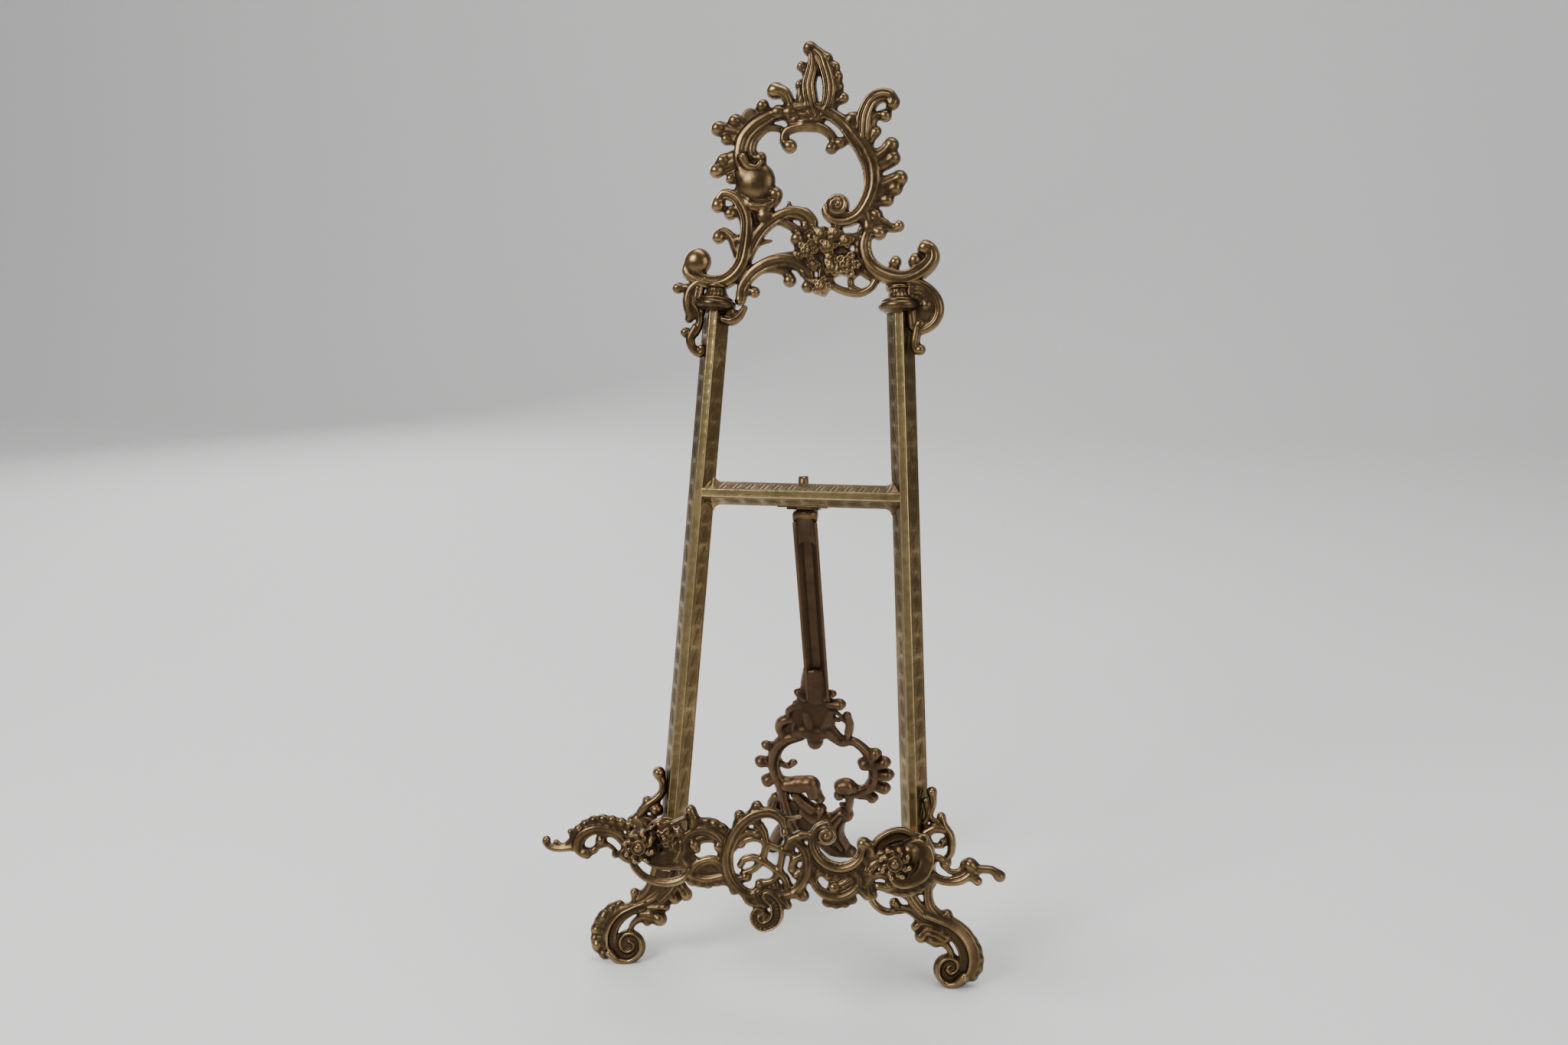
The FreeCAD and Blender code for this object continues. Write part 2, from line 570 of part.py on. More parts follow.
# The rear foot stands across the leg; rise is measured along the leg.
REAR_FOOT_STROKES = [
    (12, [(-1, 128), (-1, 112)]),
    (5, [(-8, 126), (-13, 131)]),
    (5, [(5, 126), (9, 131)]),
    (5, [(4, 120), (12, 124)]),
    (5, [(-6, 120), (-15, 123)]),
    (7, [(-6, 116), (-15, 114), (-22, 107), (-14, 103), (-5, 106)]),
    (6, [(4, 116), (13, 115), (17, 106), (11, 99), (3, 102)]),
    (8, [(-1, 113), (-4, 103), (-4, 95)]),
    (6, [(-22, 106), (-29, 96), (-33.5, 86), (-33, 75), (-28, 64), (-19, 57), (-10, 61)]),
    (5, [(-24, 97), (-16, 98.5), (-6, 101)]),
    (5, [(-31, 92), (-25, 83), (-25, 77), (-20, 76)]),
    (6, [(2, 100), (12, 93), (23, 88), (29, 79), (28, 67), (23, 59), (14, 59)]),
    (6, [(26, 88), (35, 88), (39, 79), (40, 70), (37, 60), (29, 53), (18, 51)]),
    (6, [(26, 84), (34, 82), (31, 74), (33, 66), (28, 60)]),
    (5, [(-33, 84), (-40, 78)]),
    (5, [(-29, 64), (-38, 60)]),
    (7, [(-16, 59), (-8, 50), (4, 49), (14, 53)]),
    (7, [(-22, 60), (-31, 50), (-31, 36), (-27, 22), (-29, 9)]),
    (6, [(-6, 51), (-5, 41)]),
    (7, [(11, 51), (12, 43), (12, 34), (5, 27), (6, 17), (9, 6)]),
    (5, [(-29, 30), (-16, 31), (-2, 28), (7, 30)]),
]
REAR_FOOT_KNOBS = [
    (2.6, -13, 132), (2.6, 8.5, 132), (3, 12.5, 124.5), (2.4, -16, 123.5), (4.6, -4, 94),
    (5, 13, 60), (3.4, 32, 89), (3.6, 38, 81), (3.6, 41, 70), (3.4, 38.5, 58), (3.2, 29, 50.5),
    (3, -37, 91), (4, -41, 77), (4, -39, 59), (3.2, -19.5, 76), (5.2, -9.5, 62), (3.6, -5, 39),
    (4.4, 24, 78), (5, -29, 5), (6, 9.5, 4),
]


# --------------------------------------------------- back frame mouldings

def moulding_corners(width_alias):
    """Corners of the hollow-backed three-facet moulding, from its back edge."""
    half, rim, inner = 0.5, 1.2, 0.3
    outer_foot = terms((half, width_alias))
    outer_face = terms((half, "moulding_face"))
    inner_foot = terms((half, width_alias), (-rim, "moulding_wall"))
    inner_face = terms((half, "moulding_face"), (-inner, "moulding_wall"))
    front = terms((-1, "moulding_depth"))
    inside = terms((-1, "moulding_depth"), (1, "moulding_wall"))
    return [
        (negative(outer_foot), ON_AXIS), (negative(outer_face), front), (outer_face, front),
        (outer_foot, ON_AXIS), (inner_foot, ON_AXIS), (inner_face, inside),
        (negative(inner_face), inside), (negative(inner_foot), ON_AXIS),
    ]


def moulding_block_corners(width_alias):
    """The same outline without its hollow."""
    return moulding_corners(width_alias)[:4]


def build_moulding(label, width_alias, length, boss_start, boss_length):
    """Moulding along Z with a solid boss inside it where screws go."""
    body = doc.addObject("PartDesign::Body", label + "_body")
    profile = new_sketch(body, label + "_profile")
    add_polygon(profile, moulding_corners(width_alias))
    add_pad(body, label + "_moulding", profile, length)
    boss = new_sketch(body, label + "_boss_profile")
    boss.AttachmentOffset = Placement(Vector(0, 0, boss_start[0]), Rotation())
    boss.setExpression("AttachmentOffset.Base.z", boss_start[1])
    add_polygon(boss, moulding_block_corners(width_alias))
    add_pad(body, label + "_boss", boss, boss_length)
    return body


def build_uprights():
    for side, name in SIDES:
        label = name + "_upright"
        body = build_moulding(
            label, "moulding_width", terms((1, "upright_top"), (-1, "upright_base")),
            terms((1, "upright_top"), (-1, "upright_base"), (-1, "plug_length")),
            terms((1, "plug_length")))
        body.Placement = FRAME.multiply(upright_placement(side, size["upright_base"]))
        stud_hole = bar_out(label + "_stud_hole", "stud_radius", terms((2, "moulding_depth")),
                            at(side * upright_gap(size["arm_root_rise"]), 0, size["arm_root_rise"]))
        tie_hole = bar_up(label + "_tie_hole", "tie_radius", terms((2, "plug_length")),
                          side, size["upright_top"] - size["plug_length"])
        keep(label, cut_by(label + "_bored", body, [stud_hole, tie_hole]))


def build_crossbar():
    gap = upright_gap(size["crossbar_rise"])
    length = (2 * gap, "2 * (dims.upright_gap + (dims.collar_rise - dims.crossbar_rise)"
              " * tan(dims.splay_angle * 1 deg))")
    boss = terms((2.4, "plug_length"))
    body = build_moulding("crossbar", "crossbar_width", length,
                          (gap - boss[0] / 2, "(%s) / 2 - (%s) / 2" % (length[1], boss[1])), boss)
    turn = Rotation(Vector(0, 1, 0), 90)
    body.Placement = FRAME.multiply(Placement(at(-gap, 0, size["crossbar_rise"]), turn))
    tools = [tool_shape(name + "_upright_block", upright_hull(side), FRAME)
             for side, name in SIDES]
    for side, name in SIDES:
        spot = at(side * HINGE_SCREW_GAP, 0, HINGE_SCREW_RISE)
        tools.append(bar_out("crossbar_%s_screw_hole" % name, "tie_radius",
                             terms((0.5, "moulding_depth")), spot))
    keep("crossbar", cut_by("crossbar_fitted", body, tools))


# ---------------------------------------------------------------- castings

def capital_parts(side, name):
    """Turned collar, concave neck and small top ring round an upright's axis."""
    base = size["upright_top"]
    neck_start = size["collar_rise"] + COLLAR_BEAD
    drum = doc.addObject("Part::Cylinder", name + "_capital_drum")
    drum.Radius = size["collar_radius"] - DRUM_INSET
    drum.setExpression("Radius", "dims.collar_radius - %g" % DRUM_INSET)
    drum.Height = neck_start - base
    drum.setExpression("Height", "dims.collar_rise + %g - dims.upright_top" % COLLAR_BEAD)
    drum.Placement = capital_placement(side, base)
    collar = doc.addObject("Part::Torus", name + "_capital_collar")
    collar.Radius1 = size["collar_radius"] - COLLAR_BEAD
    collar.setExpression("Radius1", "dims.collar_radius - %g" % COLLAR_BEAD)
    collar.Radius2 = COLLAR_BEAD
    collar.Placement = capital_placement(side, size["collar_rise"])
    flare = doc.addObject("Part::Cone", name + "_capital_flare")
    flare.Radius1 = size["collar_radius"] - DRUM_INSET
    flare.setExpression("Radius1", "dims.collar_radius - %g" % DRUM_INSET)
    flare.Radius2 = NECK_RADIUS
    flare.Height = FLARE_HEIGHT
    flare.Placement = capital_placement(side, neck_start)
    neck = doc.addObject("Part::Cylinder", name + "_capital_neck")
    neck.Radius = NECK_RADIUS
    neck.Height = size["capital_top"] - neck_start - FLARE_HEIGHT
    neck.setExpression("Height", "dims.capital_top - dims.collar_rise - %g - %g"
                       % (COLLAR_BEAD, FLARE_HEIGHT))
    neck.Placement = capital_placement(side, neck_start + FLARE_HEIGHT)
    bead = doc.addObject("Part::Torus", name + "_capital_bead")
    bead.Radius1 = NECK_RADIUS + 0.5
    bead.Radius2 = TOP_BEAD
    bead.Placement = capital_placement(side, size["capital_top"] - TOP_BEAD)
    return [drum, collar, flare, neck, bead]


def build_capitals():
    for side, name in SIDES:
        joined = fuse_of(name + "_capital_turned", capital_parts(side, name))
        hole = bar_up(name + "_capital_hole", "tie_radius",
                      terms((1, "capital_top"), (-1, "upright_top"), (1, "plug_length")),
                      side, size["upright_top"] - size["plug_length"] / 2)
        keep(name + "_capital", cut_by(name + "_capital_bored", joined, [hole]))


def capital_envelope(side):
    """Round block that holds one capital, in the frame's layout."""
    block = Part.makeCylinder(size["collar_radius"] + 0.4,
                              size["capital_top"] - size["upright_top"])
    block.Placement = FRAME.inverse().multiply(capital_placement(side, size["upright_top"]))
    return block


def tie_rod(side):
    start = size["upright_top"] - size["plug_length"]
    bar = Part.makeCylinder(size["tie_radius"], size["capital_top"] + TIE_GRIP - start)
    bar.Placement = FRAME.inverse().multiply(capital_placement(side, start))
    return bar


def build_crest():
    plate = casting(CREST_STROKES, CREST_KNOBS, size["crest_back"], size["crest_front"])
    tools = [capital_envelope(side) for side, _ in SIDES] + [tie_rod(side) for side, _ in SIDES]
    plate = plate.cut(tools)
    upper_half = Part.makeBox(2 * CREST_REACH, 2 * PLATE_REACH, CREST_REACH)
    upper_half.translate(Vector(-CREST_REACH, -PLATE_REACH, CREST_SPLIT))
    keep_shape("crest", plate.common(upper_half), FRAME)
    keep_shape("crest_base", plate.cut(upper_half), FRAME)
    return plate


def build_side_leaves(crest):
    for side, name in SIDES:
        label = name + "_side_leaf"
        leaf = casting(SIDE_LEAF_STROKES[label], SIDE_LEAF_KNOBS[label],
                       size["leaf_back"], size["leaf_front"])
        leaf = leaf.cut([upright_hull(side), capital_envelope(side), crest])
        keep_shape(label, leaf, FRAME)


def build_feet(arms):
    for side, name in SIDES:
        label = name + "_foot"
        rise = size["arm_root_rise"]
        hub = (HUB_RADIUS, side * upright_gap(rise), rise)
        foot = casting(FOOT_STROKES[label], FOOT_KNOBS[label], size["foot_back"], size["foot_front"])
        plate = casting([], [hub], size["foot_back"], 0)
        stud = rod(size["stud_radius"], at(hub[1], size["foot_back"] - 1, rise),
                   at(hub[1], size["foot_front"] + 1, rise))
        foot = foot.fuse(plate).cut([upright_hull(side), arms[name], stud])
        keep_shape(label, above_ground(foot, FRAME), FRAME)


def build_arms():
    """Cup against the upright, curved bar, and a round boss behind the rail."""
    arms = {}
    for side, name in SIDES:
        root = at(side * upright_gap(size["arm_root_rise"]), size["moulding_depth"],
                  size["arm_root_rise"])
        end = at(side * size["rosette_gap"], size["rail_back"], size["rosette_rise"])
        lip = root + at(0, size["cup_depth"], 0)
        cup = Part.makeCone(CUP_BASE, size["cup_radius"], size["cup_depth"], root, lip - root)
        bowl = Part.makeCone(CUP_BASE, size["cup_radius"] - CUP_WALL, size["cup_depth"] - CUP_FLOOR,
                             root + at(0, CUP_FLOOR, 0), lip - root)
        bow = side * ARM_BOW
        path = Part.BSplineCurve()
        path.interpolate([root, at(root.x + bow / 2, 24, 70), at(root.x + bow, 44, 71),
                          at(end.x + bow / 2, 60, 76), end])
        path = Part.Wire(path.toShape())
        start = Part.Wire(Part.Circle(root, lip - root, size["arm_radius"]).toShape())
        bar = path.makePipeShell([start], True, True)
        boss = Part.makeSphere(BOSS_RADIUS, end)
        arm = cup.cut(bowl).fuse([bar, boss])
        behind_rail = Part.makeBox(100, size["rail_back"] - size["moulding_depth"], 100)
        behind_rail.translate(Vector(root.x - 50, -size["rail_back"], root.z - 50))
        arm = arm.common(behind_rail)
        arm = arm.cut([rod(size["stud_radius"], root, root + at(0, STUD_GRIP, 0)),
                       rod(size["stud_radius"], end - at(0, STUD_GRIP, 0), end)])
        arms[name] = arm
        keep_shape(name + "_arm", arm, FRAME)
    return arms


def build_rail():
    rail = casting(RAIL_STROKES, RAIL_KNOBS, size["rail_back"], size["rail_front"])
    holes = []
    for side, _ in SIDES:
        spot = at(side * size["rosette_gap"], 0, size["rosette_rise"])
        holes.append(rod(size["stud_radius"], spot + at(0, size["rail_back"], 0),
                         spot + at(0, size["rail_front"], 0)))
    keep_shape("front_rail", rail.cut(holes), FRAME)


def build_rosettes():
    """Flower-headed caps: a ring of petals round a raised heart."""
    for side, name in SIDES:
        label = name + "_rosette"
        body = doc.addObject("PartDesign::Body", label + "_body")
        heart = new_sketch(body, label + "_heart_circle")
        add_circle(heart, "heart_radius")
        add_pad(body, label + "_heart", heart, terms((1, "rosette_depth")))
        petal = new_sketch(body, label + "_petal_circle")
        add_circle(petal, "petal_radius", terms((1, "rosette_radius"), (-1, "petal_radius")))
        petal_pad = add_pad(body, label + "_petal", petal, terms((0.6, "rosette_depth")))
        doc.recompute()
        ring = body.newObject("PartDesign::PolarPattern", label + "_petals")
        ring.Originals = [petal_pad]
        ring.Axis = (petal, ["N_Axis"])
        ring.Angle = 360
        ring.Occurrences = PETALS
        body.Tip = ring
        spot = at(side * size["rosette_gap"], size["rail_front"], size["rosette_rise"])
        body.Placement = FRAME.multiply(Placement(spot, OUTWARDS))
        stud = bar_out(label + "_stud_hole", "stud_radius", terms((0.6, "rosette_depth")), spot)
        keep(label, cut_by(label + "_bored", body, [stud]))


# --------------------------------------------------------------- fasteners

def build_fasteners():
    rise = size["arm_root_rise"]
    studs, nuts, rosette_studs, ties, screws = [], [], [], [], []
    for side, name in SIDES:
        x = side * upright_gap(rise)
        back = size["foot_back"] - size["nut_height"]
        length = terms((1, "nut_height"), (-1, "foot_back"), (1, "moulding_depth"))
        studs.append(bar_out(name + "_arm_stud", "stud_radius",
                             (length[0] + STUD_GRIP, "%s + %g" % (length[1], STUD_GRIP)),
                             at(x, back, rise)))
        nut = doc.addObject("Part::Prism", name + "_nut_blank")
        nut.Polygon = 6
        nut.Circumradius = size["nut_across"] / math.sqrt(3)
        nut.setExpression("Circumradius", "dims.nut_across / sqrt(3)")
        nut.Height = size["nut_height"]
        nut.setExpression("Height", "dims.nut_height")
        nut.Placement = FRAME.multiply(Placement(at(x, back, rise), OUTWARDS))
        hole = bar_out(name + "_nut_thread", "stud_radius", terms((1, "nut_height")),
                       at(x, back, rise))
        nuts.append(cut_by(name + "_nut", nut, [hole]))
        spot = at(side * size["rosette_gap"], size["rail_back"] - STUD_GRIP, size["rosette_rise"])
        reach = terms((1, "rail_front"), (-1, "rail_back"), (0.6, "rosette_depth"))
        rosette_studs.append(bar_out(name + "_rosette_stud", "stud_radius",
                                     (reach[0] + STUD_GRIP, "%s + %g" % (reach[1], STUD_GRIP)),
                                     spot))
        tie = terms((1, "capital_top"), (-1, "upright_top"), (1, "plug_length"))
        ties.append(bar_up(name + "_crest_tie", "tie_radius",
                           (tie[0] + TIE_GRIP, "%s + %g" % (tie[1], TIE_GRIP)),
                           side, size["upright_top"] - size["plug_length"]))
        spot = at(side * HINGE_SCREW_GAP, 0, HINGE_SCREW_RISE)
        shank = bar_out(name + "_hinge_screw_shank", "tie_radius",
                        terms((0.5, "moulding_depth")), spot)
        neck = bar_out(name + "_hinge_screw_neck", "tie_radius",
                       (PLATE_THICKNESS, "%g" % PLATE_THICKNESS), spot - at(0, PLATE_THICKNESS, 0))
        head = doc.addObject("Part::Sphere", name + "_hinge_screw_head")
        head.Radius = SCREW_HEAD
        head.Angle1 = 0
        head.Placement = FRAME.multiply(
            Placement(spot - at(0, PLATE_THICKNESS, 0), OUTWARDS * Rotation(Vector(1, 0, 0), 180)))
        screws.append(fuse_of(name + "_hinge_screw", [shank, neck, head]))
    keep("arm_studs", fuse_of("arm_stud_pair", studs))
    keep("arm_nuts", fuse_of("arm_nut_pair", nuts))
    keep("rosette_studs", fuse_of("rosette_stud_pair", rosette_studs))
    keep("crest_ties", fuse_of("crest_tie_pair", ties))
    keep("hinge_screws", fuse_of("hinge_screw_pair", screws))


# ------------------------------------------------------------ hinge and leg

def build_hinge_bracket():
    """Plate screwed behind the crossbar, notched for the stop, with two lugs."""
    pin = at(0, -size["hinge_back"], size["hinge_rise"])
    half_gap = size["knuckle_width"] / 2 + size["knuckle_gap"]
    plate = Part.makeBox(2 * PLATE_HALF, PLATE_THICKNESS, PLATE_TOP - PLATE_FOOT,
                         Vector(-PLATE_HALF, 0, PLATE_FOOT))
    notch = Part.makeBox(2 * half_gap, PLATE_THICKNESS, PLATE_TOP - PLATE_BRIDGE,
                         Vector(-half_gap, 0, PLATE_BRIDGE))
    bracket = plate.cut(notch)
    for side, _ in SIDES:
        near = half_gap if side > 0 else -half_gap - size["lug_thickness"]
        across = Vector(size["lug_thickness"], 0, 0)
        eye = rod(size["lug_radius"], pin + Vector(near, 0, 0), pin + Vector(near, 0, 0) + across)
        web = Part.makeBox(size["lug_thickness"], size["hinge_back"] - PLATE_THICKNESS,
                           2 * size["lug_radius"],
                           Vector(near, PLATE_THICKNESS, pin.z - size["lug_radius"]))
        bracket = bracket.fuse([eye, web])
        hole_foot = at(side * HINGE_SCREW_GAP, 0, HINGE_SCREW_RISE)
        hole = rod(size["tie_radius"], hole_foot - at(0, PLATE_THICKNESS, 0), hole_foot)
        bracket = bracket.cut(hole)
    half_pin = Vector(half_gap + size["lug_thickness"], 0, 0)
    bracket = bracket.cut(rod(size["pin_radius"], pin - half_pin, pin + half_pin))
    keep_shape("hinge_bracket", bracket.removeSplitter(), FRAME)


def build_hinge_pin():
    """Pin held in the lugs, with a rounded head at each end."""
    reach = terms((0.5, "knuckle_width"), (1, "knuckle_gap"), (1, "lug_thickness"))
    start = at(-reach[0], -size["hinge_back"], size["hinge_rise"])
    pin = doc.addObject("Part::Cylinder", "hinge_pin_shank")
    pin.Radius = size["pin_radius"]
    pin.setExpression("Radius", "dims.pin_radius")
    pin.Height = 2 * reach[0]
    pin.setExpression("Height", "2 * (%s)" % reach[1])
    pin.Placement = FRAME.multiply(Placement(start, SIDEWAYS))
    heads = []
    for side, name in SIDES:
        head = doc.addObject("Part::Sphere", "hinge_pin_%s_head" % name)
        head.Radius = PIN_HEAD
        head.Angle1 = 0
        turn = Rotation(Vector(0, 1, 0), side * 90)
        head.Placement = FRAME.multiply(
            Placement(at(side * reach[0], -size["hinge_back"], size["hinge_rise"]), turn))
        heads.append(head)
    keep("hinge_pin", fuse_of("hinge_pin_headed", [pin] + heads))


def build_leg_head():
    """Knuckle round the pin, stop finger above it and a tenon down the leg."""
    half = size["knuckle_width"] / 2
    pin = at(0, -size["hinge_back"], size["hinge_rise"])
    knuckle = rod(size["lug_radius"], pin - Vector(half, 0, 0), pin + Vector(half, 0, 0))
    gap = STOP_GAP
    profile = [pin + at(0, 3.6, 0), at(0, -gap, pin.z + 2.6), at(0, -gap, STOP_TOP),
               at(0, -gap - FINGER_DEPTH, STOP_TOP), pin + at(0, 1, 5), pin - at(0, 1, 0)]
    finger = Part.Face(Part.makePolygon(profile + profile[:1]))
    finger = finger.extrude(Vector(2 * FINGER_HALF, 0, 0))
    finger.translate(Vector(-FINGER_HALF, 0, 0))
    tip = rod(FINGER_HALF, at(0, -gap - FINGER_DEPTH, STOP_TOP), at(0, -gap, STOP_TOP))
    upper = knuckle.fuse([finger, tip])
    upper.Placement = FRAME
    tenon = leg_tenon(LEG_LENGTH - TENON_LENGTH, LEG_LENGTH)
    neck = Part.makeBox(2 * half, 2 * NECK_DEPTH, size["leg_start"] - 1,
                        Vector(-half, -NECK_DEPTH, LEG_LENGTH - size["leg_start"] + 1))
    lower = tenon.fuse(neck)
    lower.Placement = LEG
    head = upper.fuse(lower).removeSplitter()
    bore = Part.makeCylinder(size["pin_radius"] + size["pin_clearance"], 4 * half)
    bore.Placement = FRAME.multiply(Placement(pin - Vector(2 * half, 0, 0), SIDEWAYS))
    head = head.cut([bore] + rivet_shanks(HEAD_RIVETS))
    head.Placement = Placement()
    keep_shape("leg_head", head, Placement())


def leg_tenon(start, end):
    """Bar that fills the bottom of the leg's channel."""
    floor = size["leg_depth"] / 2 - size["leg_wall"]
    return Part.makeBox(2 * TENON_HALF, floor + TENON_FRONT, end - start,
                        Vector(-TENON_HALF, -TENON_FRONT, start))


def build_rear_leg():
    """Moulding with its channel open to the front."""
    half, rim, inner = 0.5, 1.2, 0.3
    front = terms((-half, "leg_depth"))
    back = terms((half, "leg_depth"))
    floor = terms((half, "leg_depth"), (-1, "leg_wall"))
    edge = terms((half, "leg_width"))
    inside = terms((half, "leg_width"), (-rim, "leg_wall"))
    face = terms((half, "leg_face"))
    inner_face = terms((half, "leg_face"), (-inner, "leg_wall"))
    body = doc.addObject("PartDesign::Body", "rear_leg_body")
    profile = new_sketch(body, "rear_leg_profile")
    add_polygon(profile, [
        (negative(edge), front), (negative(face), back), (face, back), (edge, front),
        (inside, front), (inner_face, floor), (negative(inner_face), floor),
        (negative(inside), front),
    ])
    length = LEG_LENGTH - size["leg_start"] - size["leg_base"]
    add_pad(body, "rear_leg_moulding", profile, (length, "%.4f - dims.leg_start - dims.leg_base"
                                                 % LEG_LENGTH))
    body.Placement = LEG.multiply(Placement(Vector(0, 0, size["leg_base"]), Rotation()))
    holes = []
    for rise in HEAD_RIVETS + FOOT_RIVETS:
        holes.append(tool_shape("rear_leg_rivet_hole_%d" % rise, rivet_shank(rise), Placement()))
    keep("rear_leg", cut_by("rear_leg_bored", body, holes))


def rivet_shank(rise):
    """Rivet through the leg's channel floor, at a height along the leg."""
    start = Vector(0, -TENON_FRONT, rise)
    shank = rod(RIVET_RADIUS, start, Vector(0, size["leg_depth"] / 2, rise))
    shank.Placement = LEG
    return shank


def rivet_shanks(rises):
    return [rivet_shank(rise) for rise in rises]


def build_rivets():
    for label, rises in (("head_rivets", HEAD_RIVETS), ("foot_rivets", FOOT_RIVETS)):
        pieces = []
        for rise in rises:
            back = Vector(0, size["leg_depth"] / 2, rise)
            head = Part.makeSphere(RIVET_HEAD, back, Vector(0, 1, 0), 0, 90, 360)
            head.Placement = LEG.multiply(head.Placement)
            pieces.append(rivet_shank(rise).fuse(head))
        keep_shape(label, Part.makeCompound(pieces), Placement())


def build_rear_foot():
    foot = casting(REAR_FOOT_STROKES, REAR_FOOT_KNOBS, -size["rear_foot_back"],
                   size["rear_foot_back"])
    top = Part.makeBox(200, 200, 100, Vector(-100, -100, size["leg_base"]))
    foot = foot.cut(top).fuse(leg_tenon(size["leg_base"] - TENON_LENGTH / 2, FOOT_TENON_TOP))
    foot = above_ground(foot.removeSplitter(), LEG)
    foot.Placement = LEG
    foot = foot.cut(rivet_shanks(FOOT_RIVETS))
    keep_shape("rear_foot", foot, Placement())


# ------------------------------------------------------------------- build

def check_and_export():
    doc.recompute()
    for item in doc.Objects:
        if "Invalid" in item.State or "Error" in item.State:
            raise RuntimeError("%s failed: %s" % (item.Name, item.State))
    os.makedirs("parts", exist_ok=True)
    for item in nodes:
        shape = item.Shape
        if shape.isNull() or not shape.isValid() or shape.Volume <= 0:
            raise RuntimeError(item.Label + " has no valid shape")
        shape.exportStep("parts/%s.step" % item.Label)
        print("%-18s solids %d  volume %8.0f mm3" % (item.Label, len(shape.Solids), shape.Volume))


build_uprights()
build_crossbar()
build_capitals()
arm_shapes = build_arms()
build_side_leaves(build_crest())
build_feet(arm_shapes)
build_rail()
build_rosettes()
build_fasteners()
build_hinge_bracket()
build_hinge_pin()
build_leg_head()
build_rear_leg()
build_rivets()
build_rear_foot()
check_and_export()
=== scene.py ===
"""Photo album stand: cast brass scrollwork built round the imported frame.

Every casting is drawn in its own flat layout in millimetres, x across and
"rise" up, as strokes and knobs with a relief of their own. The relief becomes
a closed mesh with a worked front and a plainer back, and is then leaned into
the stand's frame in metres.
"""
import json
import math

import bpy
import numpy as np
from mathutils import Matrix, Vector


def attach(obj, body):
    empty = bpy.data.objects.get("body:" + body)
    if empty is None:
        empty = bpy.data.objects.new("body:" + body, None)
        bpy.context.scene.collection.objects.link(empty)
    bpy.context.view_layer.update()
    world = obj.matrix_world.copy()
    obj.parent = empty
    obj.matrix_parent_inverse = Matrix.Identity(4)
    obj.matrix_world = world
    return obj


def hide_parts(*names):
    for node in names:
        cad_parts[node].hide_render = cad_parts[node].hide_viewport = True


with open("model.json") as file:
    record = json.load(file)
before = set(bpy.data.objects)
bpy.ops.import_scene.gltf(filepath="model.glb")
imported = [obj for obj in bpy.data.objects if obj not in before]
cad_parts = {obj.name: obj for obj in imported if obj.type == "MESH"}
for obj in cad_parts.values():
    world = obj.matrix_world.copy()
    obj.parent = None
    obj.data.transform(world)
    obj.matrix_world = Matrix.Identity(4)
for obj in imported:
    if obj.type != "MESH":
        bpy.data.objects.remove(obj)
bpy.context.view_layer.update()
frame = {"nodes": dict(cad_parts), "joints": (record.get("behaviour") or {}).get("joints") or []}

MM = 0.001
LEAN = math.radians(13.0)               # back frame, from the vertical
LEG_SLOPE = math.radians(20.0)          # rear leg in the open stance
SPLAY = math.radians(3.3)               # each upright, towards the other
ORIGIN_SHIFT = 45.37                    # brings the middle of the footprint to y = 0
UPRIGHT_BASE, UPRIGHT_TOP = 52.0, 366.0
COLLAR_RISE, COLLAR_GAP = 368.5, 51.2   # where an upright's axis passes its collar
CAPITAL_OUT = 4.5                       # axis of the collars, in front of the uprights' backs
SIDES = ((-1, "left"), (1, "right"))


# ------------------------------------------------------------ places

def frame_point(x, out, rise):
    """From the back frame's layout to the stand, in metres."""
    y = rise * math.sin(LEAN) - out * math.cos(LEAN) - ORIGIN_SHIFT
    z = rise * math.cos(LEAN) + out * math.sin(LEAN)
    return np.stack([x + 0 * y, y, z], axis=-1) * MM


HINGE = np.array(frame["joints"][0]["pos_m"]) / MM
LEG_TOE_Y = HINGE[1] + HINGE[2] * math.tan(LEG_SLOPE)
PIN_RISE = HINGE[2] / math.cos(LEG_SLOPE)


def leg_point(x, out, rise):
    """From the rear leg's layout to the stand, in metres."""
    y = LEG_TOE_Y - rise * math.sin(LEG_SLOPE) - out * math.cos(LEG_SLOPE)
    z = rise * math.cos(LEG_SLOPE) - out * math.sin(LEG_SLOPE)
    return np.stack([x + 0 * y, y, z], axis=-1) * MM


def axis_x(side, rise):
    """Where an upright's axis passes a rise."""
    return side * (COLLAR_GAP + (COLLAR_RISE - rise) * math.tan(SPLAY))


def upright_place(side):
    """Points of one upright: across, out and along its leaning axis."""
    base = axis_x(side, UPRIGHT_BASE)

    def place(u, v, w):
        x = base + u * math.cos(SPLAY) - side * w * math.sin(SPLAY)
        rise = UPRIGHT_BASE + w * math.cos(SPLAY) + side * u * math.sin(SPLAY)
        return frame_point(x, v, rise)
    return place


def capital_place(side):
    """Points round an upright's axis above its end."""
    axis = upright_place(side)

    def place(a, b, h):
        return axis(a, CAPITAL_OUT - b, h - UPRIGHT_BASE)
    return place


# ------------------------------------------------------------ sections

SPAN_POINTS = 24                    # points on a spline between two set points
COMB_RIB, COMB_LOBE = 1.5, 4.5      # pitches along a stroke
COVE_RIB, FLUTE_RIB = 1.6, 1.7
VEIN_PITCH = 2.4


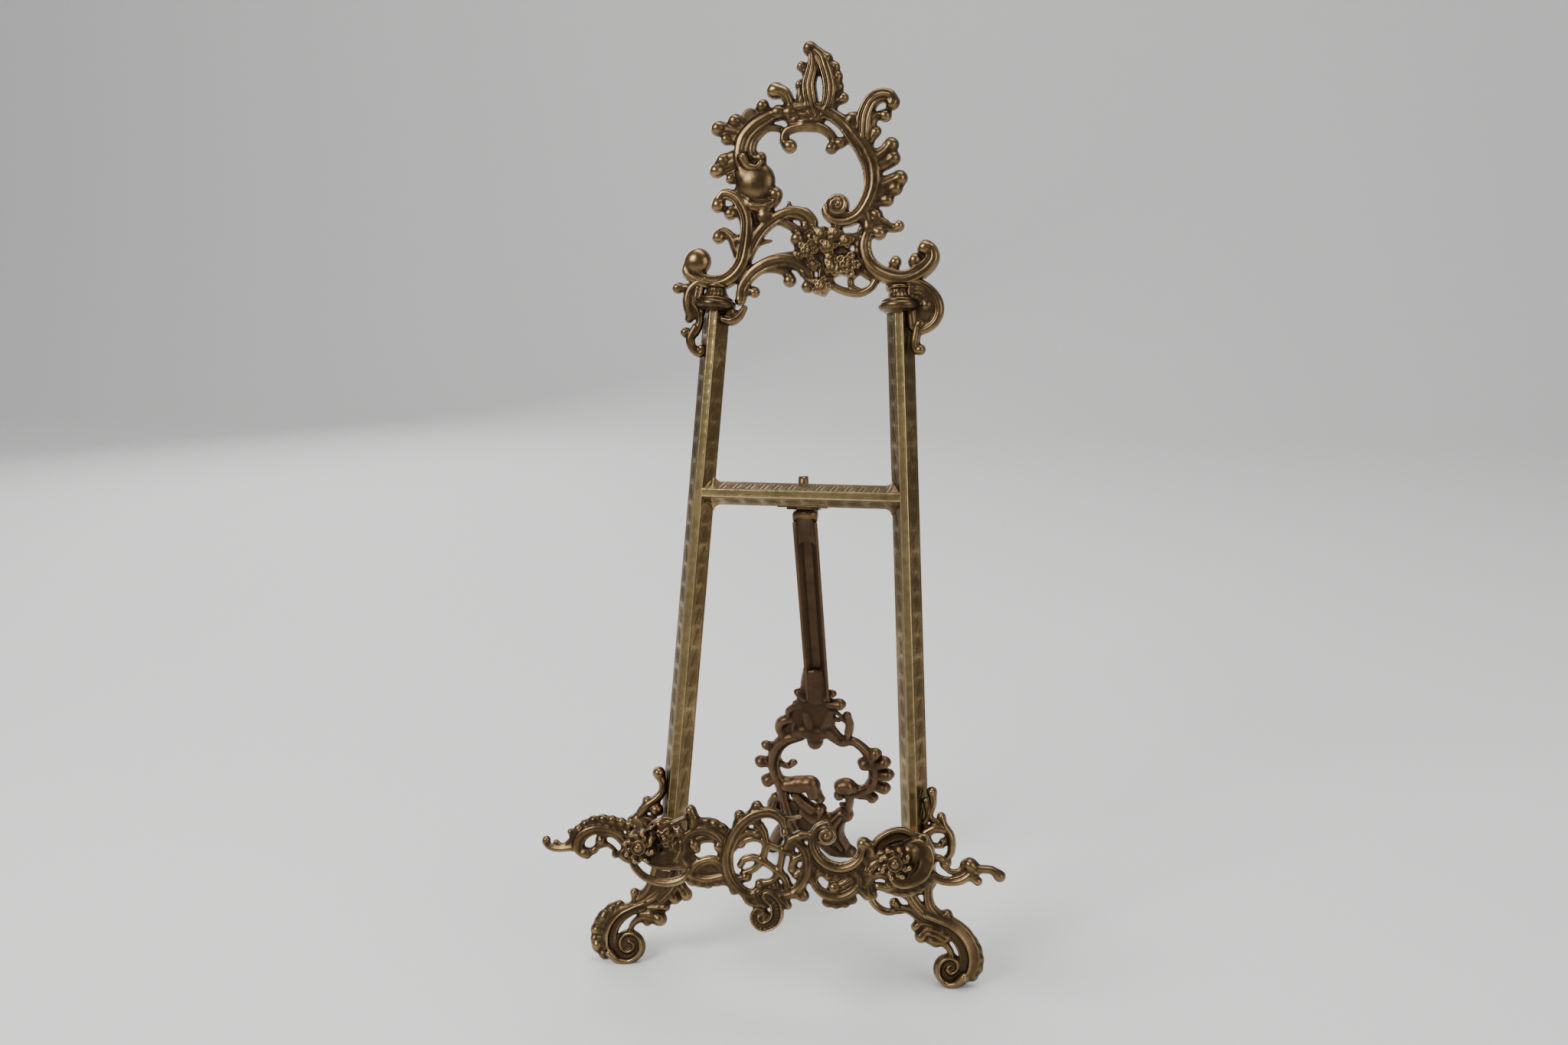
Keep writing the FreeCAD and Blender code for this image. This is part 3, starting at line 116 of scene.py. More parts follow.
def spline(points, spacing=0.35):
    """Smooth line through given points: Catmull-Rom, evenly resampled."""
    p = np.array(points, float)
    if len(p) == 2:
        count = max(2, int(np.linalg.norm(p[1] - p[0]) / spacing))
        return np.linspace(p[0], p[1], count + 1)
    ends = np.vstack([2 * p[0] - p[1], p, 2 * p[-1] - p[-2]])
    runs = []
    for i in range(1, len(ends) - 2):
        a, b, c, d = ends[i - 1:i + 3]
        u = np.linspace(0, 1, SPAN_POINTS, endpoint=False)[:, None]
        runs.append(0.5 * (2 * b + (c - a) * u + (2 * a - 5 * b + 4 * c - d) * u ** 2
                           + (3 * b - a - 3 * c + d) * u ** 3))
    line = np.vstack(runs + [p[-1:]])
    walked = distance_along(line)
    marks = np.linspace(0, walked[-1], max(3, int(walked[-1] / spacing)))
    return np.stack([np.interp(marks, walked, line[:, k]) for k in (0, 1)], axis=1)


def distance_along(line):
    steps = np.linalg.norm(np.diff(line, axis=0), axis=1)
    return np.concatenate([[0], np.cumsum(steps)])


def dome(t):
    """Half-round section; t is 0 in the middle and 1 at the edge."""
    return np.sqrt(np.clip(1 - t * t, 0, 1))


def bump(t, centre, half):
    """Half-round bead of height 1."""
    return dome((t - centre) / half)


def line_at(t, centre, spread):
    """Soft line of height 1."""
    return np.exp(-((t - centre) / spread) ** 2)


def lobes(along, pitch):
    """Row of rounded lobes, 0 between them and 1 on their middles."""
    return np.abs(np.sin(along * math.pi / pitch))


def ripple(along, pitch, size):
    """Even ribs across a hollow: 1, more or less by size."""
    return 1 + size * np.cos(along * 2 * math.pi / pitch)


def section(style, t, along, width):
    """Height of a stroke's section, 0 to about 1: t across, along in mm.

    t is positive towards the inside of the stroke's bend.
    """
    body = dome(t)
    if style == "round":
        return body
    if style == "scroll":       # broad swelling, a groove, and a bead on the inner edge
        broad = 0.97 * dome((t + 0.2) / 0.8) ** 0.9
        face = broad * (1 - 0.07 * line_at(t, -0.3, 0.09))
        return np.maximum(np.maximum(face, 0.8 * bump(t, 0.76, 0.24)), 0.6 * np.sqrt(body))
    if style == "cove":         # slope up to a crisp ridge, then a deep hollow on the inside
        slope = np.where(t < -0.1, 0.45 + 0.5 * np.clip((t + 1) / 0.9, 0, 1) ** 1.5, 0)
        floor = 0.4 * np.sqrt(body) * ripple(along, COVE_RIB, 0.12)
        shell = np.minimum(1, 3.2 * body) * slope
        beads = np.maximum(bump(t, -0.06, 0.2), 0.42 * bump(t, 0.84, 0.16))
        return np.maximum(np.maximum(floor, shell), beads)
    if style == "fluted":       # hollow between rims, ribbed across
        floor = 0.52 * np.sqrt(body) * ripple(along, FLUTE_RIB, 0.2)
        return np.maximum(floor, np.maximum(bump(t, 0.7, 0.3), 0.95 * bump(t, -0.72, 0.28)))
    if style == "lined":        # round with one engraved line near the inner edge
        return body * (1 - 0.2 * line_at(t, 0.42, 0.12))
    if style == "plume":        # ridges that run along a leaf
        ridge = np.abs(np.cos(t * math.pi * 1.5))
        return body * (0.6 + 0.4 * ridge ** 0.7)
    if style == "leaf":         # crease down the middle and veins to the edges
        vein = np.abs(np.sin((along - 1.1 * width * np.abs(t)) * math.pi / VEIN_PITCH))
        return body * (0.62 + 0.38 * np.minimum(1, np.abs(t) * 3)) * (0.8 + 0.2 * vein)
    if style == "comb":         # ribbed edging that thins towards the outside
        rib = lobes(along, COMB_RIB) ** 0.7
        fall = 0.62 + 0.3 * t
        lobe = lobes(along, COMB_LOBE) ** 0.6
        return np.minimum(1, 1.8 * body) * fall * (0.62 + 0.38 * rib) * (0.66 + 0.34 * lobe)
    if style == "beads":        # string of balls
        return body * (0.35 + 0.65 * dome(np.hypot(0.6 * t, 1 - lobes(along, width))))
    if style == "web":          # low flat ground between strokes
        return np.sqrt(np.minimum(1, 2.2 * body))
    raise ValueError(style)


def edge_factor(style, along, width):
    """How the outline swells and shrinks along a stroke."""
    if style == "comb":
        return 0.74 + 0.26 * lobes(along, COMB_LOBE) ** 0.7
    if style == "beads":
        return 0.75 + 0.25 * lobes(along, width)
    return np.ones_like(along)


PETALS = 5


def flower(dx, dz, radius):
    """Open rose: two rings of cupped petals round a small heart."""
    rho = np.hypot(dx, dz) / radius
    angle = np.arctan2(dz, dx)
    best = np.maximum(0.95 * dome(rho / 0.3), 0.35 * dome(rho / 1.05))
    for ring, size, lift, turn in ((0.38, 0.34, 0.9, 0.5), (0.7, 0.4, 0.72, 0.0)):
        for k in range(PETALS):
            a = 2 * math.pi * (k + turn) / PETALS
            px, pz = dx / radius - ring * math.cos(a), dz / radius - ring * math.sin(a)
            d = np.hypot(px, pz) / size
            cup = 0.62 + 0.38 * np.clip(d, 0, 1) ** 1.5
            best = np.maximum(best, lift * dome(d) ** 0.5 * cup)
    return best, rho - 0.08 * np.cos(PETALS * angle) - 1.0


def volute(dx, dz, radius, turns, hand):
    """Rolled-up end: one raised ridge winding in to a round eye."""
    rho = np.hypot(dx, dz) / radius
    angle = np.arctan2(dz, dx) / (2 * math.pi) * hand
    phase = (rho * turns - angle) % 1.0
    ridge = dome((phase - 0.5) / 0.52)
    height = dome(rho) ** 0.6 * (0.55 + 0.45 * ridge)
    return np.maximum(height, 1.05 * dome(rho / 0.26))


def smooth_max(a, b, blend):
    """The larger of two fields, filleted where they differ by less than blend."""
    h = np.clip(blend - np.abs(a - b), 0, blend) / blend
    return np.maximum(a, b) + h * h * blend * 0.25


# ------------------------------------------------------------ relief

FAR = 9.0                           # gap where nothing is drawn yet
WEB_LIFT = 1.5                      # height of the low ground
TALLEST = 4.6                       # no stroke or knob rises more than this times its lift
BLEND, FILLET = 0.5, 1.6            # how strokes run together, in height and in outline
KNOB_BLEND, KNOB_FILLET = 1.4, 2.4
CRISP = 0.15                        # blend of flowers and volutes
STROKE_MARGIN, KNOB_MARGIN, FLOWER_MARGIN = 2.5, 3, 2
ROSE_LIFT, VOLUTE_LIFT = 0.9, 0.8   # heights as shares of the radius
FLOWER_BED = 1.0                    # a flower stands this far off the middle plane


class Relief:
    """Height above a casting's middle plane on an even grid, with its outline.

    fullness widens every stroke, and tall raises every stroke and knob.
    """

    def __init__(self, low, high, step, fullness=1.0, tall=1.0):
        self.step = step
        self.fullness = fullness
        self.tall = tall
        self.x = np.arange(low[0], high[0] + step, step)
        self.z = np.arange(low[1], high[1] + step, step)
        shape = (len(self.x), len(self.z))
        self.height = np.zeros(shape)
        self.gap = np.full(shape, FAR)      # distance outside the outline, negative inside

    def window(self, low, high):
        """The part of the grid from low to high: its slices and coordinates."""
        i = np.searchsorted(self.x, [low[0], high[0]])
        j = np.searchsorted(self.z, [low[1], high[1]])
        cut = (slice(max(0, i[0] - 1), i[1] + 1), slice(max(0, j[0] - 1), j[1] + 1))
        return cut, self.x[cut[0]][:, None], self.z[cut[1]][None, :]

    def around(self, radius, x, z, margin):
        """The part of the grid round a centre, measured from it."""
        cut, gx, gz = self.window((x - radius - margin, z - radius - margin),
                                  (x + radius + margin, z + radius + margin))
        return cut, gx - x, gz - z

    def lay(self, cut, height, gap, blend=BLEND, fillet=FILLET):
        self.height[cut] = smooth_max(self.height[cut], height, blend)
        self.gap[cut] = -smooth_max(-self.gap[cut], -gap, fillet)

    def stroke(self, style, width, points, lift=1.0, base=0.0):
        """width is one number, or several spread evenly from start to end."""
        line = spline(points)
        widths = np.atleast_1d(np.array(width, float)) * self.fullness
        marks = np.linspace(0, 1, len(line))
        half = np.interp(marks, np.linspace(0, 1, len(widths)), widths) / 2
        walked = distance_along(line)
        reach = half.max() + STROKE_MARGIN
        cut, gx, gz = self.window(line.min(0) - reach, line.max(0) + reach)
        shape = (gx.shape[0], gz.shape[1])
        best = np.full(shape, np.inf)
        near = np.zeros(shape, int)
        for k in range(len(line)):
            d = (gx - line[k, 0]) ** 2 + (gz - line[k, 1]) ** 2
            better = d < best
            best[better] = d[better]
            near[better] = k
        tangent = np.gradient(line, axis=0)
        tangent /= np.linalg.norm(tangent, axis=1)[:, None]
        turning = np.gradient(tangent, axis=0)
        bend = np.sum(tangent[:, 0] * turning[:, 1] - tangent[:, 1] * turning[:, 0])
        distance = np.sqrt(best)
        side = (tangent[near, 0] * (gz - line[near, 1])
                - tangent[near, 1] * (gx - line[near, 0]))
        local = half[near] * edge_factor(style, walked[near], widths.mean())
        t = np.where(side * (1 if bend >= 0 else -1) >= 0, 1, -1) * distance / local
        rise = section(style, np.clip(t, -1, 1), walked[near], widths.mean())
        tall = lift * (WEB_LIFT if style == "web" else np.minimum(half[near], TALLEST))
        height = np.where(distance < local, base + rise * tall * self.tall, 0)
        self.lay(cut, height, distance - local)

    def knob(self, radius, x, z, lift=0.95, base=0.0):
        cut, dx, dz = self.around(radius, x, z, KNOB_MARGIN)
        rho = np.hypot(dx, dz)
        high = lift * min(radius, TALLEST) * self.tall
        height = np.where(rho < radius, base + high * dome(rho / radius), 0)
        self.lay(cut, height, rho - radius, KNOB_BLEND, KNOB_FILLET)

    def rose(self, radius, x, z):
        cut, dx, dz = self.around(radius, x, z, FLOWER_MARGIN)
        height, gap = flower(dx, dz, radius)
        self.lay(cut, (height * ROSE_LIFT * radius + FLOWER_BED) * (gap < 0), gap * radius, CRISP)

    def volute(self, radius, x, z, turns, hand):
        cut, dx, dz = self.around(radius, x, z, FLOWER_MARGIN)
        rho = np.hypot(dx, dz)
        height = volute(dx, dz, radius, turns, hand) * VOLUTE_LIFT * radius
        self.lay(cut, np.where(rho < radius, height, 0), rho - radius, CRISP)

    def blur(self, field, passes):
        """Average over neighbours, as casting softens every edge."""
        for _ in range(passes):
            padded = np.pad(field, 1, mode="edge")
            field = (4 * padded[1:-1, 1:-1] + 2 * (padded[:-2, 1:-1] + padded[2:, 1:-1]
                     + padded[1:-1, :-2] + padded[1:-1, 2:]) + padded[:-2, :-2] + padded[2:, 2:]
                     + padded[:-2, 2:] + padded[2:, :-2]) / 16
        return field

    def stamp(self, strokes, knobs, roses=(), volutes=()):
        """Lay whole tables, in the order that lets flowers lie on top."""
        for draw, table in ((self.stroke, strokes), (self.volute, volutes),
                            (self.knob, knobs), (self.rose, roses)):
            for entry in table:
                draw(*entry)
        return self


# ------------------------------------------------------------ meshes

def facing_out(points, faces):
    """The faces of a closed mesh, turned over if they face inwards."""
    volume = 0.0
    for f in faces:
        for k in range(1, f.shape[1] - 1):
            volume += np.sum(points[f[:, 0]] * np.cross(points[f[:, k]], points[f[:, k + 1]]))
    return faces if volume > 0 else [f[:, ::-1] for f in faces]


def mesh_object(name, points, faces, relief=None):
    """Mesh from arrays; faces is a list of arrays, one per corner count."""
    faces = facing_out(points, faces)
    mesh = bpy.data.meshes.new(name)
    counts = np.concatenate([np.full(len(f), f.shape[1]) for f in faces])
    loops = np.concatenate([f.ravel() for f in faces])
    mesh.vertices.add(len(points))
    mesh.vertices.foreach_set("co", np.asarray(points, np.float32).ravel())
    mesh.loops.add(len(loops))
    mesh.loops.foreach_set("vertex_index", loops.astype(np.int32))
    mesh.polygons.add(len(counts))
    starts = np.concatenate([[0], np.cumsum(counts)[:-1]])
    mesh.polygons.foreach_set("loop_start", starts.astype(np.int32))
    mesh.polygons.foreach_set("use_smooth", np.ones(len(counts), bool))
    mesh.update(calc_edges=True)
    if relief is not None:
        layer = mesh.attributes.new("relief", "FLOAT", "POINT")
        layer.data.foreach_set("value", np.asarray(relief, np.float32))
    piece = bpy.data.objects.new(name, mesh)
    bpy.context.scene.collection.objects.link(piece)
    return piece


OUTLINE = -0.05                     # cells with a larger gap are left out
EDGE_ROUND, EDGE_SHARE = 1.5, 0.85  # how the outline rounds over to the middle plane
RIM_REACH = 1.3                     # rim points move at most this many cells to the outline
BACK_BLUR, GROUND_BLUR = 14, 24     # passes that leave the back's and the ground's swelling
CAVITY = 1.5                        # mm above the ground that count as fully raised
RIM_TONE = 0.2                      # relief value along the outline


def cast(name, relief, place, middle, back_share=0.45, back_most=4.0):
    """Close a relief into a mesh: its face on one side, a plain swelling behind."""
    step = relief.step
    gap = relief.blur(relief.gap, 1)
    depth = np.clip(-gap, 0, EDGE_ROUND)
    edge = np.sqrt(np.clip(depth * (2 * EDGE_ROUND - depth), 0, None))
    height = relief.blur(smooth_max(relief.height, EDGE_SHARE * edge, BLEND), 1)
    broad = relief.blur(height, BACK_BLUR)
    inside = gap < OUTLINE
    cell = inside[:-1, :-1] & inside[1:, :-1] & inside[:-1, 1:] & inside[1:, 1:]
    used = np.zeros_like(inside)
    count = np.zeros(inside.shape, int)
    for a in (0, 1):
        for b in (0, 1):
            view = (slice(a, a + cell.shape[0]), slice(b, b + cell.shape[1]))
            used[view] |= cell
            count[view] += cell
    rim = used & (count < 4)
    gx, gz = np.gradient(gap, step)
    slope = np.maximum(np.hypot(gx, gz), 1e-6)
    push = np.clip(-gap, 0, RIM_REACH * step) / slope
    px = relief.x[:, None] + np.where(rim, gx * push, 0)
    pz = relief.z[None, :] + np.where(rim, gz * push, 0)
    swelling = relief.blur(np.maximum(broad, 0.4 * height), 2)
    index = np.full(inside.shape, -1)
    index[used] = np.arange(used.sum())
    inner = used & ~rim
    behind = index.copy()
    behind[inner] = used.sum() + np.arange(inner.sum())
    front_out = middle + np.where(rim, 0, height)
    back_out = middle - np.minimum(back_most, back_share * swelling)
    cavity = np.clip((height - relief.blur(height, GROUND_BLUR)) / CAVITY, -1, 1)
    thick = ~rim
    cell &= thick[:-1, :-1] | thick[1:, :-1] | thick[:-1, 1:] | thick[1:, 1:]
    i, j = np.nonzero(cell)
    corners = [(i, j), (i + 1, j), (i + 1, j + 1), (i, j + 1)]
    front = np.stack([index[c] for c in corners], axis=1)
    rear = np.stack([behind[c] for c in corners[::-1]], axis=1)
    points = np.concatenate([place(px[used], front_out[used], pz[used]),
                             place(px[inner], back_out[inner], pz[inner])])
    points[:, 2] = np.maximum(points[:, 2], 0)
    values = np.concatenate([np.where(rim, RIM_TONE, cavity)[used], np.zeros(inner.sum())])
    return mesh_object(name, points, [front, rear], values)


def grid_faces(rows, columns, wrap_rows=False, wrap_columns=False):
    """Quads over a grid of points stored row by row."""
    i = np.arange(rows if wrap_rows else rows - 1)[:, None]
    j = np.arange(columns if wrap_columns else columns - 1)[None, :]
    i2, j2 = (i + 1) % rows, (j + 1) % columns
    corners = [i * columns + j, i * columns + j2, i2 * columns + j2, i2 * columns + j]
    return np.stack([c.ravel() for c in np.broadcast_arrays(*corners)], axis=1)


def end_faces(columns, rows):
    """The two flat ends of a grid of rings stored row by row."""
    first = np.arange(columns)
    return np.stack([first[::-1], first + (rows - 1) * columns])


LEAF_PITCH, LEAF_STRIPES = 11.5, 8.0    # engraved leaves, each cut with slanting stripes
MARK_PITCH, GROUP_PITCH = 2.6, 7.8      # engraved marks, in groups
GROUP_SHARE = 0.62
BORDER_CUT, STRIPE_CUT, STEM_CUT = 0.16, 0.34, 0.18


def engraving(motif, along, across):
    """Depth of the pattern cut in a facet; across runs 0 to 1 from the front edge."""
    depth = BORDER_CUT * (line_at(across, 0.1, 0.035) + line_at(across, 0.9, 0.035))
    if motif == "leaves":
        cell = along / LEAF_PITCH % 1.0
        lean = along / LEAF_PITCH + 0.9 * (across - 0.5)
        lobe = dome((cell - 0.45) / 0.42) * dome((across - 0.5) / 0.38)
        stripes = np.clip(np.cos(2 * math.pi * lean * LEAF_STRIPES), 0, 1) ** 0.7
        stem = line_at(across - 0.32, 0.35 * cell, 0.05)
        depth = depth + STRIPE_CUT * stripes * (lobe > 0.2) * lobe + STEM_CUT * stem * (lobe > 0.1)
    if motif == "strokes":
        lean = along / MARK_PITCH - 1.3 * across
        group = (along / GROUP_PITCH % 1.0) < GROUP_SHARE
        stripes = np.clip(np.cos(2 * math.pi * lean), 0, 1) ** 1.2
        depth = depth + STRIPE_CUT * stripes * group * ((across > 0.18) & (across < 0.82))
    return depth


BAR_STEP = 0.55                         # spacing of the rows along a moulding
FACET_POINTS, FACE_POINTS = 26, 8
ARRIS, ARRIS_SPREAD = 0.22, 0.05        # raised edge between face and facet
WAVE, DISH = 0.05, 0.12                 # unevenness and hollowing of the flat face
FACE_TONE, CHANNEL_SHADE_TONE = 0.55, -0.25    # relief values of the flat face and of the channel; the channel's darker value is painted shade inside it


def moulding(name, length, sizes, place, motifs, widen=None, floor=None):
    """Hollow-backed bar with a flat face and two engraved, sloping facets."""
    width, face, depth, wall = sizes
    rows = int(length / BAR_STEP) + 1
    along = np.linspace(0, length, rows)[:, None]
    extra = np.zeros((rows, 1)) if widen is None else widen(along)
    fine = np.linspace(0, 1, FACET_POINTS)[None, :]
    flat = np.linspace(0, 1, FACE_POINTS)[None, 1:-1]
    half, edge = width / 2 + extra, face / 2
    slope = np.hypot(width / 2 - edge, depth)
    normal = (depth / slope, (width / 2 - edge) / slope)
    columns, relief = [], []
    for side, motif in zip((-1, 1), motifs):
        across = fine if side > 0 else fine[:, ::-1]
        cut = engraving(motif, along, across)
        arris = ARRIS * line_at(across, 0, ARRIS_SPREAD)
        lift = arris - cut
        u = side * (edge + (half - edge) * across + normal[0] * lift)
        v = depth * (1 - across) + normal[1] * lift
        columns.append((u, v))
        # tone: the arris lighter, partly rubbed edge and partly painted highlight; engraved cuts
        # darker
        relief.append(np.broadcast_to(np.clip(3.2 * arris - 1.1 * cut + 0.08, -1, 1), u.shape))
    wave = WAVE * np.sin(along * 0.83) * np.sin(along * 0.31 + 1.0)
    middle_u = edge * (2 * flat - 1) + 0 * along
    middle_v = depth + wave - DISH * dome(2 * flat - 1)
    columns.insert(1, (middle_u, middle_v))
    relief.insert(1, np.full(middle_u.shape, FACE_TONE))
    u = np.concatenate([c[0] for c in columns], axis=1)
    v = np.concatenate([c[1] for c in columns], axis=1)
    count = u.shape[1]
    share = np.linspace(-1, 1, count)[None, :]
    rim = (width / 2 - wall) / (width / 2)
    inside_top = depth - wall if floor is None else floor
    knee = (edge * 0.7) / (half * rim)
    inner_u = share * half * rim
    inner_v = inside_top * np.clip((1 - np.abs(share)) / (1 - knee), 0, 1)
    u = np.concatenate([u, inner_u[:, ::-1]], axis=1)
    v = np.concatenate([v, inner_v[:, ::-1]], axis=1)
    # painted shade: the inside of the channel is given a darker tone
    cavity = np.concatenate(relief + [np.full((rows, count), CHANNEL_SHADE_TONE)], axis=1)
    points = place(u, v, along + 0 * u).reshape(-1, 3)
    sides = grid_faces(rows, 2 * count, wrap_columns=True)
    i = np.arange(count - 1)
    cap = np.stack([i, i + 1, 2 * count - 2 - i, 2 * count - 1 - i], axis=1)
    top = cap[:, ::-1] + (rows - 1) * 2 * count
    return mesh_object(name, points, [sides[:, ::-1], cap, top], cavity.ravel())


CARVED_TONE, TURNED_TONE = 2.2, 0.1     # relief value of carving and of plain turning


def lathe(name, profile, place, turns=72, carve=None, ring=False):
    """Turn (radius, height) points; carve(angle, profile) adds to the radii.

    ring closes the profile on itself, otherwise both ends get a flat face.
    """
    p = np.array(profile, float)
    angle = np.linspace(0, 2 * math.pi, turns, endpoint=False)[None, :]
    radius = p[:, :1] + (carve(angle, p) if carve else 0 * angle)
    points = place(radius * np.cos(angle), radius * np.sin(angle), p[:, 1:] + 0 * angle)
    relief = np.clip((radius - p[:, :1]) * CARVED_TONE + TURNED_TONE, -1, 1)
    faces = [grid_faces(len(p), turns, wrap_rows=ring, wrap_columns=True)]
    if not ring:
        faces.append(end_faces(turns, len(p)))
    return mesh_object(name, points.reshape(-1, 3), faces, relief.ravel())


def prism(name, outline, start, end, place):
    """Flat outline carried from start to end, closed at both."""
    p = np.array(outline, float)
    count = len(p)
    points = [place(p[:, 0], p[:, 1], np.full(count, d)) for d in (start, end)]
    faces = [grid_faces(2, count, wrap_columns=True), end_faces(count, 2)]
    return mesh_object(name, np.concatenate(points), faces, np.zeros(2 * count))


SWEEP_RINGS, SWEEP_TURNS, SWEEP_SMOOTHING = 90, 20, 40
SWEEP_RIBS, RIB_SIZE = 6, 0.05


def sweep(name, path, radii):
    """Faintly ribbed tube along a smooth path of (x, out, rise) points."""
    p = np.array(path, float)
    marks = np.linspace(0, 1, len(p))
    fine = np.linspace(0, 1, SWEEP_RINGS)
    line = np.stack([np.interp(fine, marks, p[:, k]) for k in range(3)], axis=1)
    for _ in range(SWEEP_SMOOTHING):
        line[1:-1] = (line[:-2] + 2 * line[1:-1] + line[2:]) / 4
    tangent = np.gradient(line, axis=0)
    tangent /= np.linalg.norm(tangent, axis=1)[:, None]
    across = np.cross(tangent, (0.0, 0.0, 1.0))
    across /= np.linalg.norm(across, axis=1)[:, None]
    above = np.cross(across, tangent)
    angle = np.linspace(0, 2 * math.pi, SWEEP_TURNS, endpoint=False)
    radius = np.interp(fine, np.linspace(0, 1, len(radii)), radii)[:, None]
    radius = radius * (1 + RIB_SIZE * np.cos(SWEEP_RIBS * angle)[None, :])
    spokes = (np.cos(angle)[None, :, None] * across[:, None, :]
              + np.sin(angle)[None, :, None] * above[:, None, :])
    ring = line[:, None, :] + radius[:, :, None] * spokes
    points = frame_point(ring[..., 0], ring[..., 1], ring[..., 2]).reshape(-1, 3)
    faces = grid_faces(SWEEP_RINGS, SWEEP_TURNS, wrap_columns=True)
    ends = end_faces(SWEEP_TURNS, SWEEP_RINGS)
    return mesh_object(name, points, [faces[:, ::-1], ends[:, ::-1]])


def joined(name, *pieces):
    """One object from several closed meshes."""
    bpy.ops.object.select_all(action="DESELECT")
    for piece in pieces:
        piece.select_set(True)
    bpy.context.view_layer.objects.active = pieces[0]
    bpy.ops.object.join()
    pieces[0].name = name
    pieces[0].data.name = name
    return pieces[0]


def arc(centre, radius, start, end, count):
    """Points of an arc as (radius from the axis, height); angles in degrees."""
    return [(centre[0] + radius * math.cos(math.radians(a)),
             centre[1] + radius * math.sin(math.radians(a)))
            for a in np.linspace(start, end, count)]


# ------------------------------------------------------------ drawings

# Stroke: style, width or widths, points, then lift and base where they differ.
# Knob: radius, x, rise, then lift and base where they differ. Rose: radius, x, rise.
# Volute: radius, x, rise, turns, hand.

